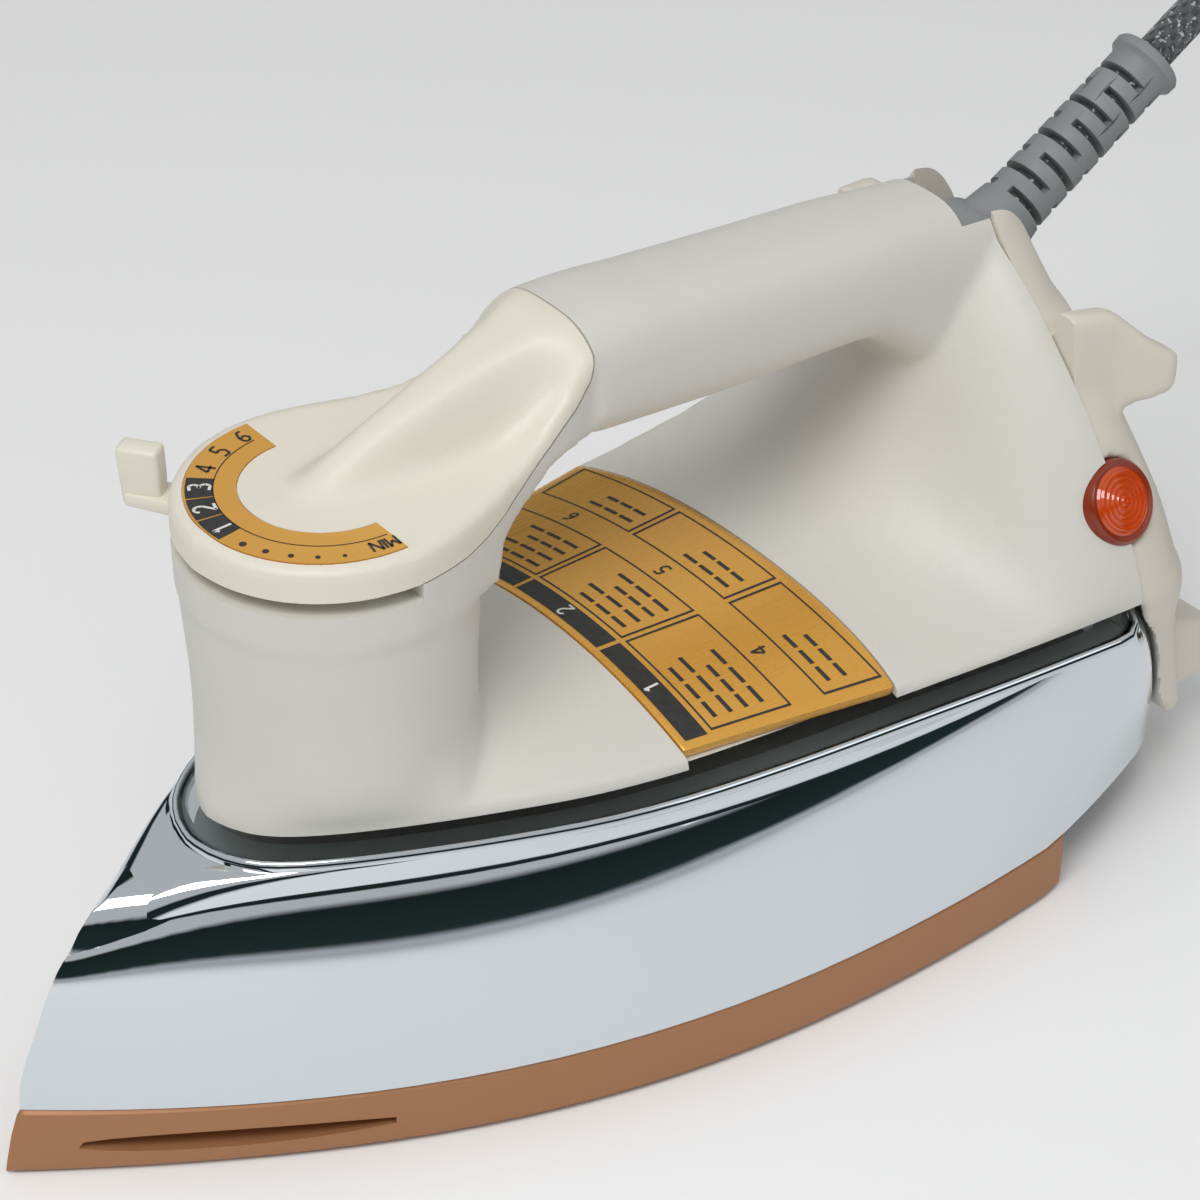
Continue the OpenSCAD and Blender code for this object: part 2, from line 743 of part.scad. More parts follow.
module cord_clamp() {
    color(grey) translate([73, 0, 84]) difference() {
        translate([-3, -9, -2]) cube([11, 18, 3.6]);
        translate([3, -7, -3]) cube([10, 14, 8]);
    }
}

// ---- cord guard -----------------------------------------------------------

module guard_yoke() {
    color(grey) translate(guard_pivot) difference() {
        union() {
            for (side = [-1, 1]) translate([-6, side * 8.2 - 1.3, -11]) cube([12, 2.6, 16]);
            translate([-6, -9.5, -12.6]) cube([12, 19, 2]);
        }
        rotate([90, 0, 0]) cylinder(h = 40, r = trunnion_r + run, center = true);
        translate([0, 0, -20]) cylinder(h = 12, r = 4.4);
    }
}

rib_pitch = 4.2;
rib_count = 8;
module cord_guard() {
    color(grey) translate(guard_pivot) rotate([0, 90 - guard_deg, 0]) difference() {
        union() {
            rotate([90, 0, 0]) cylinder(h = drum_w, r = drum_r, center = true);
            rotate([90, 0, 0]) cylinder(h = drum_w + 6, r = trunnion_r, center = true);
            rotate_extrude() polygon([[0, 0], [6.4, 0], [6.4, 9], [6, 13], [6, guard_l - 2.5],
                [6.8, guard_l - 2.5], [6.8, guard_l], [0, guard_l]]);
        }
        translate([0, 0, -20]) cylinder(h = 90, r = cord_d / 2 + run);
        for (k = [0:rib_count - 1], side = [0, 180])
            translate([0, 0, 14 + k * rib_pitch]) rotate([0, 0, side + (k % 2) * 90 + 15])
                rotate_extrude(angle = 150) translate([4.2, -1]) square([6, 2]);
    }
}

module cord_core() {
    color([0.35, 0.35, 0.36]) translate(guard_pivot) rotate([0, 90 - guard_deg, 0])
        translate([0, 0, -6]) cylinder(h = guard_l + 6, r = cord_d / 2);
}

// ---- free cord ------------------------------------------------------------

cord_r = cord_d / 2;
cord_route = [
    [124.7, 0, 127.27], [136, 0, 134], [148, 0.5, 139], [161, 2, 141], [173, 4.5, 138.5],
    [183, 8, 132], [191, 12, 122], [197, 16, 110], [202, 20, 97], [206, 24, 84],
    [209.5, 28, 71], [213, 32, 58], [217, 35.5, 45.5], [222, 39, 33.5], [228.5, 42, 22.5],
    [237, 44.3, 13.5], [247, 45.6, 7.3], [255, 46, 4.4], [262, 46, 3.6]
];
coil_c = [262, -8];
coil_w = 3 * cord_d;    // three turns side by side
coil_h = 2 * cord_d;    // in two layers
tie_w = 8;
tie_t = 0.7;
tail_route = [[262, -62, 10], [254, -62, 9.2], [246, -62, 8.4], [238, -62, 8], [230, -62, 8]];

module cord_lead() { color([0.30, 0.30, 0.31]) tube(cord_route, cord_r, 12); }

module cord_coil() {
    color([0.30, 0.30, 0.31]) difference() {
        translate([coil_c.x, coil_c.y, 0]) rotate_extrude() translate([coil_r - coil_w, 0])
            polygon([[1, 0], [coil_w - 1, 0], [coil_w, 1], [coil_w, coil_h - 1],
                [coil_w - 1, coil_h], [1, coil_h], [0, coil_h - 1], [0, 1]]);
        translate([coil_c.x, coil_c.y - tie_w / 2 - 0.1, -1]) cube([80, tie_w + 0.2, 1 + tie_t]);
    }
}

module cord_tail() { color([0.30, 0.30, 0.31]) tube(tail_route, cord_r, 12); }

module coil_tie() {
    hole_w = coil_w + 0.6;
    hole_h = coil_h - tie_t + 0.1;
    translate([coil_c.x + coil_r - coil_w - 0.3, coil_c.y - tie_w / 2, 0])
        color([0.15, 0.15, 0.16]) difference() {
            translate([-tie_t, 0, 0]) cube([hole_w + 2 * tie_t, tie_w, hole_h + 2 * tie_t]);
            translate([0, -1, tie_t]) cube([hole_w, tie_w + 2, hole_h]);
        }
}

plug_at = [230, -62, 8];
module plug_body() {
    color([0.20, 0.20, 0.21]) translate(plug_at) {
        translate([-34, -15, -8]) cube([24, 30, 16]);
        side_taper = [[-10, -15], [-10, 15], [0, 7], [0, -7]];
        translate([0, 0, -7]) linear_extrude(14) polygon(side_taper);
    }
}

module plug_pins() {
    color(brass) for (side = [-1, 1])
        bar_x(plug_at.x - 53, plug_at.x - 34, plug_at.y + side * 9.5, plug_at.z, 2.4);
}

// ---- nodes ----------------------------------------------------------------

soleplate();
heating_element();
element_terminals();
insulating_sheet();
weight_block();
clamp_studs();
clamp_nuts();
chrome_cover();
heat_shield();
thermostat_base();
bimetal_blade();
fixed_contact_blade();
moving_contact_blade();
contact_insulators();
thermostat_rivet();
screw_bush();
control_cam();
control_shaft();
temperature_lever();
dial_cap();
cap_screws();
scale_plate();
handle_body();
handle_nuts();
label_plate();
rear_cover();
rear_cover_screws();
pilot_lens();
neon_lamp();
lamp_resistor();
terminal_block();
terminal_screws();
thermal_fuse();
live_lead();
neutral_lead();
earth_lead();
cord_clamp();
guard_yoke();
cord_guard();
cord_core();
cord_lead();
cord_coil();
cord_tail();
coil_tie();
plug_body();
plug_pins();
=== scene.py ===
"""A heavy dry clothes iron: copper-toned sole, mirror-chromed cover, moulded cream handle
with a temperature lever, a gold fabric guide, a pilot lens and a swinging cord guard."""
import bpy
import bmesh
import math
import random
from mathutils import Vector, Matrix


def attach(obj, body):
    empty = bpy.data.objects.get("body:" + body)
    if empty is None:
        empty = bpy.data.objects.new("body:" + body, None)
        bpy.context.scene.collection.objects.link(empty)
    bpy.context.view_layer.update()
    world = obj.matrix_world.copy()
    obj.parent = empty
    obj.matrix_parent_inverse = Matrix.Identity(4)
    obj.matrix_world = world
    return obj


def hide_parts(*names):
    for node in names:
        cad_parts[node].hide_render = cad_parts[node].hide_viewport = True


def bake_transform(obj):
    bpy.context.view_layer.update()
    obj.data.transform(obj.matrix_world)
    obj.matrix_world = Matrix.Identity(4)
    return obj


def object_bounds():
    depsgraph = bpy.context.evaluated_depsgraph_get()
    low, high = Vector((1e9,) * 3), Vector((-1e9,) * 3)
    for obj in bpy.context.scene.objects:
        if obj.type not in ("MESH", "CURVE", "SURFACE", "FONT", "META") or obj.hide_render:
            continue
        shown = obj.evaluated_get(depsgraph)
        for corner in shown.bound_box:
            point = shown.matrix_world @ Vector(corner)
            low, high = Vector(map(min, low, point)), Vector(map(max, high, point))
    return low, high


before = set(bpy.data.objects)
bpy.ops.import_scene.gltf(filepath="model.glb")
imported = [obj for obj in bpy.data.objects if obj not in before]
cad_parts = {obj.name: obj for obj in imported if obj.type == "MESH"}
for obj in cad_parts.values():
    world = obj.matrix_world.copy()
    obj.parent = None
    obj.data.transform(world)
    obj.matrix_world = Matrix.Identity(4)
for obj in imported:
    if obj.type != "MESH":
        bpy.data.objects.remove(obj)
cad_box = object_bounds()
MM = 0.001
random.seed(7)

# ---- camera and light ---------------------------------------------------------

CAMERA_AT = (-0.30420, -0.38722, 0.40513)
CAMERA_RIGHT = Vector((0.78789, -0.61580, 0.00318))
CAMERA_UP = Vector((0.34996, 0.45199, 0.82051))
CAMERA_BACK = -Vector((0.50671, 0.64536, -0.57163))


def add_camera():
    data = bpy.data.cameras.new("camera")
    data.lens = 104.49
    data.sensor_width = 36
    data.clip_start = 0.01
    camera = bpy.data.objects.new("camera", data)
    bpy.context.scene.collection.objects.link(camera)
    turn = Matrix((CAMERA_RIGHT, CAMERA_UP, CAMERA_BACK)).transposed().to_4x4()
    camera.matrix_world = Matrix.Translation(CAMERA_AT) @ turn
    bpy.context.scene.camera = camera
    bpy.context.scene.view_settings.view_transform = "Standard"


def add_lamp(name, place, target, size, watts, colour=(1, 1, 1)):
    data = bpy.data.lights.new(name, "AREA")
    data.shape = "RECTANGLE"
    data.size, data.size_y = size
    data.energy = watts
    data.color = colour
    lamp = bpy.data.objects.new(name, data)
    bpy.context.scene.collection.objects.link(lamp)
    aim = (Vector(target) - Vector(place)).to_track_quat("-Z", "Y")
    lamp.matrix_world = Matrix.Translation(place) @ aim.to_matrix().to_4x4()


def add_studio():
    """A pale floor, a studio room that is dark round its walls, and soft lamps overhead."""
    world = bpy.data.worlds.new("studio")
    bpy.context.scene.world = world
    world.use_nodes = True
    tree = world.node_tree
    tree.nodes.clear()
    coord = tree.nodes.new("ShaderNodeTexCoord")
    split = tree.nodes.new("ShaderNodeSeparateXYZ")
    ramp = tree.nodes.new("ShaderNodeValToRGB")
    background = tree.nodes.new("ShaderNodeBackground")
    output = tree.nodes.new("ShaderNodeOutputWorld")
    rise = tree.nodes.new("ShaderNodeMath")
    rise.operation = "MULTIPLY_ADD"
    rise.inputs[1].default_value = 0.5
    rise.inputs[2].default_value = 0.5
    stops = ((0.0, (0.80, 0.83, 0.86)), (0.50, (0.80, 0.83, 0.86)), (0.515, (0.030, 0.050, 0.048)),
             (0.66, (0.020, 0.034, 0.032)), (0.70, (0.95, 0.96, 0.97)), (1.0, (0.98, 0.98, 1.0)))
    ramp.color_ramp.elements[0].position = stops[0][0]
    ramp.color_ramp.elements[1].position = stops[-1][0]
    for place, _ in stops[1:-1]:
        ramp.color_ramp.elements.new(place)
    for element, (place, colour) in zip(ramp.color_ramp.elements, stops):
        element.position = place
        element.color = (*colour, 1)
    link = tree.links.new
    link(coord.outputs["Generated"], split.inputs[0])
    link(split.outputs["Z"], rise.inputs[0])
    link(rise.outputs[0], ramp.inputs[0])
    link(ramp.outputs[0], background.inputs["Color"])
    background.inputs["Strength"].default_value = 0.56
    link(background.outputs[0], output.inputs[0])

    add_lamp("key", (-0.55, -0.35, 1.05), (0, 0, 0.06), (0.6, 0.5), 7, (1.0, 0.985, 0.96))
    add_lamp("fill", (0.45, -0.95, 0.75), (0, 0, 0.06), (0.7, 0.5), 0.8, (0.95, 0.98, 1.0))

    bm = bmesh.new()
    bmesh.ops.create_grid(bm, x_segments=8, y_segments=8, size=4)
    mesh = bpy.data.meshes.new("floor")
    bm.to_mesh(mesh)
    bm.free()
    floor = bpy.data.objects.new("floor", mesh)
    bpy.context.scene.collection.objects.link(floor)
    floor.location.z = cad_box[0][2] - 0.0005
    paint = bpy.data.materials.new("floor_paint")
    paint.use_nodes = True
    shader = paint.node_tree.nodes["Principled BSDF"]
    shader.inputs["Base Color"].default_value = (0.93, 0.935, 0.94, 1)
    shader.inputs["Roughness"].default_value = 0.75
    mesh.materials.append(paint)


# ---- node groups and materials ------------------------------------------------

def new_group(name, inputs, outputs):
    """An empty node group with float inputs (name, default) and outputs (name, kind)."""
    group = bpy.data.node_groups.new(name, "ShaderNodeTree")
    for label, value in inputs:
        socket = group.interface.new_socket(label, in_out="INPUT", socket_type="NodeSocketFloat")
        socket.default_value = value
    for label, kind in outputs:
        group.interface.new_socket(label, in_out="OUTPUT", socket_type="NodeSocket" + kind)
    return group, group.nodes.new("NodeGroupInput"), group.nodes.new("NodeGroupOutput")


def node(tree, kind, **settings):
    made = tree.nodes.new("ShaderNode" + kind)
    for key, value in settings.items():
        setattr(made, key, value)
    return made


def math_node(tree, operation, a, b=None, c=None):
    made = node(tree, "Math", operation=operation)
    for slot, value in zip(made.inputs, (a, b, c)):
        if value is None:
            continue
        if isinstance(value, (int, float)):
            slot.default_value = value
        else:
            tree.links.new(value, slot)
    return made.outputs[0]


def noise(tree, scale, detail=2.0, roughness=0.5, vector=None):
    made = node(tree, "TexNoise")
    made.inputs["Detail"].default_value = detail
    made.inputs["Roughness"].default_value = roughness
    if isinstance(scale, (int, float)):
        made.inputs["Scale"].default_value = scale
    else:
        tree.links.new(scale, made.inputs["Scale"])
    if vector is None:
        vector = node(tree, "TexCoord").outputs["Object"]
    tree.links.new(vector, made.inputs["Vector"])
    return made.outputs["Fac"]


def build_moulded_grain():
    """Spark-eroded mould grain: a fine height field, and slow drift in tone and gloss."""
    group, given, result = new_group(
        "moulded_grain", [("Grain Scale", 2600), ("Drift Scale", 22)],
        [("Height", "Float"), ("Drift", "Float")])
    fine = noise(group, given.outputs["Grain Scale"], 3, 0.6)
    slow = noise(group, given.outputs["Drift Scale"], 3, 0.55)
    group.links.new(fine, result.inputs["Height"])
    group.links.new(slow, result.inputs["Drift"])
    return group


def build_settled_dust():
    """Faint dust on surfaces that face up, broken by noise."""
    group, given, result = new_group("settled_dust", [("Amount", 0.06)], [("Mask", "Float")])
    facing = node(group, "NewGeometry")
    split = node(group, "SeparateXYZ")
    group.links.new(facing.outputs["Normal"], split.inputs[0])
    up = math_node(group, "POWER", math_node(group, "MAXIMUM", split.outputs["Z"], 0.0), 2.0)
    patch = noise(group, 60, 4, 0.6)
    mask = math_node(group, "MULTIPLY", math_node(group, "MULTIPLY", up, patch),
                     given.outputs["Amount"])
    group.links.new(mask, result.inputs["Mask"])
    return group


def build_edge_wear():
    """A mask of worn edges from the surface's pointiness."""
    group, given, result = new_group("edge_wear", [("Low", 0.53), ("High", 0.62)], [("Mask", "Float")])
    geometry = node(group, "NewGeometry")
    spread = node(group, "MapRange")
    group.links.new(geometry.outputs["Pointiness"], spread.inputs["Value"])
    group.links.new(given.outputs["Low"], spread.inputs["From Min"])
    group.links.new(given.outputs["High"], spread.inputs["From Max"])
    scuff = noise(group, 180, 3, 0.6)
    mask = math_node(group, "MULTIPLY", spread.outputs["Result"], scuff)
    group.links.new(mask, result.inputs["Mask"])
    return group


GRAIN = build_moulded_grain()
DUST = build_settled_dust()
WEAR = build_edge_wear()


def place_group(tree, group, **values):
    made = tree.nodes.new("ShaderNodeGroup")
    made.node_tree = group
    for key, value in values.items():
        made.inputs[key].default_value = value
    return made


def mix_colour(tree, amount, first, second, blend_type="MIX"):
    made = node(tree, "Mix", data_type="RGBA", blend_type=blend_type)
    for slot, value in ((made.inputs[0], amount), (made.inputs[6], first), (made.inputs[7], second)):
        if isinstance(value, (int, float)):
            slot.default_value = value
        elif isinstance(value, tuple):
            slot.default_value = (*value, 1)
        else:
            tree.links.new(value, slot)
    return made.outputs[2]


def new_material(name, roughness, metallic=0.0, **sockets):
    material = bpy.data.materials.new(name)
    material.use_nodes = True
    tree = material.node_tree
    shader = tree.nodes["Principled BSDF"]
    shader.inputs["Roughness"].default_value = roughness
    shader.inputs["Metallic"].default_value = metallic
    for label, value in sockets.items():
        shader.inputs[label.replace("_", " ")].default_value = value
    return material, tree, shader


def add_bump(tree, shader, height, distance, strength=1.0):
    bump = node(tree, "Bump")
    bump.inputs["Strength"].default_value = strength
    bump.inputs["Distance"].default_value = distance
    tree.links.new(height, bump.inputs["Height"])
    tree.links.new(bump.outputs["Normal"], shader.inputs["Normal"])


def moulded_plastic(name, colour, shade, roughness=0.45, grain=2600, depth=0.00004, dust=0.05):
    """Grained thermoset moulding with slight drift in tone, polished a little where it is held."""
    material, tree, shader = new_material(name, roughness)
    drift = place_group(tree, GRAIN, **{"Grain Scale": grain})
    settled = place_group(tree, DUST, Amount=dust)
    worn = place_group(tree, WEAR)
    body = mix_colour(tree, drift.outputs["Drift"], shade, colour)
    body = mix_colour(tree, settled.outputs["Mask"], body, (0.60, 0.58, 0.54))
    body = mix_colour(tree, math_node(tree, "MULTIPLY", worn.outputs["Mask"], 0.25), body,
                      tuple(min(1.0, c * 1.12) for c in colour))
    tree.links.new(body, shader.inputs["Base Color"])
    gloss = math_node(tree, "MULTIPLY_ADD", drift.outputs["Drift"], 0.16, roughness - 0.08)
    tree.links.new(gloss, shader.inputs["Roughness"])
    add_bump(tree, shader, drift.outputs["Height"], depth)
    return material


def coated_metal(name, colour, shade, roughness, metallic, grain=900, depth=0.00002, coat=0.0):
    material, tree, shader = new_material(name, roughness, metallic)
    shader.inputs["Coat Weight"].default_value = coat
    shader.inputs["Coat Roughness"].default_value = 0.2
    drift = place_group(tree, GRAIN, **{"Grain Scale": grain, "Drift Scale": 35})
    worn = place_group(tree, WEAR, Low=0.54, High=0.66)
    body = mix_colour(tree, drift.outputs["Drift"], shade, colour)
    body = mix_colour(tree, math_node(tree, "MULTIPLY", worn.outputs["Mask"], 0.35), body,
                      tuple(min(1.0, c * 1.3) for c in colour))
    tree.links.new(body, shader.inputs["Base Color"])
    gloss = math_node(tree, "MULTIPLY_ADD", drift.outputs["Drift"], 0.14, roughness - 0.07)
    tree.links.new(gloss, shader.inputs["Roughness"])
    add_bump(tree, shader, drift.outputs["Height"], depth)
    return material


def mirror_chrome():
    """Bright chrome with a trace of polishing haze."""
    material, tree, shader = new_material("mirror_chrome", 0.04, 1.0)
    slow = noise(tree, 14, 2, 0.5)
    haze = noise(tree, 420, 4, 0.7)
    body = mix_colour(tree, slow, (0.66, 0.72, 0.76), (0.72, 0.77, 0.80))
    tree.links.new(body, shader.inputs["Base Color"])
    tree.links.new(math_node(tree, "MULTIPLY_ADD", haze, 0.03, 0.025), shader.inputs["Roughness"])
    add_bump(tree, shader, slow, 0.0002, 0.25)
    return material


def gold_sheet():
    """Gold anodised sheet, brushed along its length."""
    material, tree, shader = new_material("gold_sheet", 0.3, 0.55)
    coord = node(tree, "TexCoord")
    stretch = node(tree, "Mapping")
    stretch.inputs["Scale"].default_value = (60, 2500, 2500)
    tree.links.new(coord.outputs["Object"], stretch.inputs["Vector"])
    lines = noise(tree, 1.0, 2, 0.5, stretch.outputs["Vector"])
    slow = noise(tree, 30, 2, 0.5)
    body = mix_colour(tree, slow, (0.80, 0.39, 0.055), (0.90, 0.48, 0.09))
    body = mix_colour(tree, math_node(tree, "MULTIPLY", lines, 0.12), body, (1.0, 0.68, 0.28))
    tree.links.new(body, shader.inputs["Base Color"])
    tree.links.new(math_node(tree, "MULTIPLY_ADD", lines, 0.14, 0.22), shader.inputs["Roughness"])
    add_bump(tree, shader, lines, 0.000003)
    return material


def printed_ink(name, colour):
    material, tree, shader = new_material(name, 0.45)
    speck = noise(tree, 900, 2, 0.5)
    tree.links.new(mix_colour(tree, speck, colour, tuple(min(1.0, c + 0.03) for c in colour)),
                   shader.inputs["Base Color"])
    return material


def orange_lens():
    material, tree, shader = new_material(
        "orange_lens", 0.08, Transmission_Weight=0.35, IOR=1.49)
    shader.inputs["Coat Weight"].default_value = 0.6
    slow = noise(tree, 160, 2, 0.5)
    tree.links.new(mix_colour(tree, slow, (0.62, 0.055, 0.006), (0.78, 0.11, 0.012)),
                   shader.inputs["Base Color"])
    # Painted glow: a faint orange emission stands in for light shining through the lens; the neon behind it gives no
    # light
    tree.links.new(mix_colour(tree, slow, (0.75, 0.08, 0.005), (1.0, 0.18, 0.01)),
                   shader.inputs["Emission Color"])
    shader.inputs["Emission Strength"].default_value = 0.07
    return material


def grey_rubber():
    material, tree, shader = new_material("grey_rubber", 0.55)
    drift = place_group(tree, GRAIN, **{"Grain Scale": 1800, "Drift Scale": 60})
    settled = place_group(tree, DUST, Amount=0.12)
    body = mix_colour(tree, drift.outputs["Drift"], (0.20, 0.215, 0.22), (0.27, 0.285, 0.29))
    body = mix_colour(tree, settled.outputs["Mask"], body, (0.55, 0.55, 0.54))
    tree.links.new(body, shader.inputs["Base Color"])
    add_bump(tree, shader, drift.outputs["Height"], 0.00005)
    return material


BRAID_STRANDS = 8
BRAID_PITCH = 0.012


def braided_textile():
    """Textile braid laid round the cord from the tube's own around and along values."""
    material, tree, shader = new_material("braided_textile", 0.85)
    around = node(tree, "Attribute", attribute_name="round_dir")
    along = node(tree, "Attribute", attribute_name="along")
    split = node(tree, "SeparateXYZ")
    tree.links.new(around.outputs["Vector"], split.inputs[0])
    angle = math_node(tree, "ARCTAN2", split.outputs["Y"], split.outputs["X"])
    turn = math_node(tree, "MULTIPLY", angle, BRAID_STRANDS)
    run = math_node(tree, "MULTIPLY", along.outputs["Fac"],
                    2 * math.pi * BRAID_STRANDS / BRAID_PITCH / 2)
    left = math_node(tree, "SINE", math_node(tree, "ADD", turn, run))
    right = math_node(tree, "SINE", math_node(tree, "SUBTRACT", turn, run))
    over = math_node(tree, "MAXIMUM", left, right)
    which = math_node(tree, "GREATER_THAN", left, right)
    fleck = noise(tree, 900, 2, 0.6)
    body = mix_colour(tree, which, (0.055, 0.058, 0.062), (0.10, 0.105, 0.11))
    body = mix_colour(tree, math_node(tree, "GREATER_THAN", fleck, 0.60), body, (0.45, 0.46, 0.47))
    tree.links.new(body, shader.inputs["Base Color"])
    shader.inputs["Sheen Weight"].default_value = 0.3
    add_bump(tree, shader, over, 0.00025)
    return material


def plain(name, colour, roughness, metallic=0.0, grain=1500, depth=0.00003):
    """Hidden and small parts: one finish with fine grain and drift."""
    return coated_metal(name, colour, tuple(c * 0.88 for c in colour), roughness, metallic, grain, depth)


CREAM = moulded_plastic("cream_moulding", (0.70, 0.69, 0.635), (0.67, 0.66, 0.605))
CAP_CREAM = moulded_plastic("cap_moulding", (0.80, 0.76, 0.655), (0.77, 0.73, 0.62), 0.42)
REAR_CREAM = moulded_plastic("rear_moulding", (0.74, 0.70, 0.61), (0.71, 0.665, 0.575))
COPPER = coated_metal("copper_coating", (0.43, 0.205, 0.095), (0.39, 0.18, 0.08), 0.45, 0.25, 700, 0.00003)
CHROME = mirror_chrome()
GOLD = gold_sheet()
INK = printed_ink("black_ink", (0.012, 0.012, 0.012))
WHITE_INK = printed_ink("white_ink", (0.75, 0.74, 0.70))
LENS = orange_lens()
LENS_RIM = plain("lens_rim", (0.26, 0.03, 0.008), 0.25)
RUBBER = grey_rubber()
BRAID = braided_textile()
DARK = moulded_plastic("dark_moulding", (0.030, 0.030, 0.033), (0.022, 0.022, 0.025), 0.5)
STEEL = plain("zinc_plate", (0.55, 0.56, 0.57), 0.35, 1.0)
BRASS = plain("bright_brass", (0.72, 0.52, 0.22), 0.28, 1.0)
IRON = plain("cast_iron", (0.07, 0.07, 0.072), 0.75, 0.6, 500, 0.0002)
CERAMIC = plain("steatite", (0.72, 0.69, 0.62), 0.6)
MICA = plain("mica_sheet", (0.55, 0.48, 0.38), 0.4)
FOIL = plain("mill_sheet", (0.60, 0.60, 0.60), 0.4, 1.0)
LAMP = plain("lamp_glass", (0.85, 0.55, 0.42), 0.1)
BROWN_PVC = plain("brown_lead", (0.20, 0.09, 0.04), 0.4)
BLUE_PVC = plain("blue_lead", (0.03, 0.10, 0.32), 0.4)
GREEN_PVC = plain("green_lead", (0.10, 0.32, 0.06), 0.4)

# ---- mesh helpers ------------------------------------------------------------


def smooth_table(pairs):
    """A smooth curve through (x, y) pairs: monotone cubic, flat beyond its ends."""
    xs = [p[0] for p in pairs]
    ys = [p[1] for p in pairs]
    slopes = [(ys[i + 1] - ys[i]) / (xs[i + 1] - xs[i]) for i in range(len(xs) - 1)]
    tangents = [slopes[0]]
    for a, b in zip(slopes, slopes[1:]):
        tangents.append(0.0 if a * b <= 0 else 2 * a * b / (a + b))
    tangents.append(slopes[-1])

    def value(x):
        if x <= xs[0]:
            return ys[0]
        if x >= xs[-1]:
            return ys[-1]
        i = max(k for k in range(len(xs) - 1) if xs[k] <= x)
        h = xs[i + 1] - xs[i]
        t = (x - xs[i]) / h
        return ((2 * t ** 3 - 3 * t ** 2 + 1) * ys[i] + (t ** 3 - 2 * t ** 2 + t) * h * tangents[i]
                + (3 * t ** 2 - 2 * t ** 3) * ys[i + 1] + (t ** 3 - t ** 2) * h * tangents[i + 1])
    return value


def spread(start, end, count):
    return [start + (end - start) * i / (count - 1) for i in range(count)]


def loft(bm, rings, close_start=True, close_end=True, closed=True):
    """Draws the first ring, then extrudes it through the others, all in millimetres."""
    loop = [bm.verts.new(Vector(p) * MM) for p in rings[0]]
    last = len(loop) if closed else len(loop) - 1
    edges = [bm.edges.new((loop[i], loop[(i + 1) % len(loop)])) for i in range(last)]
    if close_start:
        bm.faces.new(loop)
    for points in rings[1:]:
        grown = bmesh.ops.extrude_edge_only(bm, edges=edges)["geom"]
        fresh = {g for g in grown if isinstance(g, bmesh.types.BMVert)}
        loop = [next(e.other_vert(v) for e in v.link_edges if e.other_vert(v) in fresh)
                for v in loop]
        for vert, point in zip(loop, points):
            vert.co = Vector(point) * MM
        edges = [e for e in grown if isinstance(e, bmesh.types.BMEdge)
                 and e.verts[0] in fresh and e.verts[1] in fresh]
    if close_end:
        bm.faces.new(loop)
    bmesh.ops.recalc_face_normals(bm, faces=bm.faces)
    return loop


def prism(bm, outline, low, high):
    """An outline of (x, y) points raised from low to high."""
    return loft(bm, [[(x, y, low) for x, y in outline], [(x, y, high) for x, y in outline]])


def side_prism(bm, profile, half_width):
    """A side view of (x, z) points made wide across the iron."""
    return loft(bm, [[(x, -half_width, z) for x, z in profile], [(x, half_width, z) for x, z in profile]])


def as_object(name, bm):
    mesh = bpy.data.meshes.new(name)
    bm.to_mesh(mesh)
    bm.free()
    made = bpy.data.objects.new(name, mesh)
    bpy.context.scene.collection.objects.link(made)
    return made


def baked(made):
    """Applies the object's modifiers to its mesh."""
    depsgraph = bpy.context.evaluated_depsgraph_get()
    depsgraph.update()
    mesh = bpy.data.meshes.new_from_object(made.evaluated_get(depsgraph))
    made.modifiers.clear()
    old = made.data
    made.data = mesh
    bpy.data.meshes.remove(old)
    return made


def discard(*made):
    for one in made:
        mesh = one.data
        bpy.data.objects.remove(one)
        bpy.data.meshes.remove(mesh)


def cut(made, tool, operation="DIFFERENCE", keep_tool=False):
    step = made.modifiers.new("cut", "BOOLEAN")
    step.operation = operation
    step.object = tool
    step.solver = "EXACT"
    baked(made)
    if not keep_tool:
        discard(tool)
    return made


def copied(made, name):
    twin = bpy.data.objects.new(name, made.data.copy())
    bpy.context.scene.collection.objects.link(twin)
    return twin


def finish_piece(made, material, body, replaced=(), sharp=35):
    """Shades a piece, gives it its finish, and puts it on its body."""
    mesh = made.data
    if material is not None:
        mesh.materials.clear()
        mesh.materials.append(material)
    for face in mesh.polygons:
        face.use_smooth = True
    mesh.set_sharp_from_angle(angle=math.radians(sharp))
    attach(made, body)
    if replaced:
        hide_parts(*replaced)
    return made


# ---- cord --------------------------------------------------------------------

CORD_R = 3.5
GUARD_PIVOT = Vector((82, 0, 101.6))
GUARD_SLOPE = math.radians(31)
GUARD_LENGTH = 49.7
LEAD_ROUTE = [
    (124.6, 0, 127.2), (136, 0, 134), (148, 0.5, 139), (161, 2, 141), (173, 4.5, 138.5),
    (183, 8, 132), (191, 12, 122), (197, 16, 110), (202, 20, 97), (206, 24, 84),
    (209.5, 28, 71), (213, 32, 58), (217, 35.5, 45.5), (222, 39, 33.5), (228.5, 42, 22.5),
    (237, 44.3, 13.5), (246, 45.8, 7.2), (254, 46.2, 4.4)]
COIL_CENTRE = (262, -8)
COIL_TURNS = 5.5
COIL_STEPS = 26


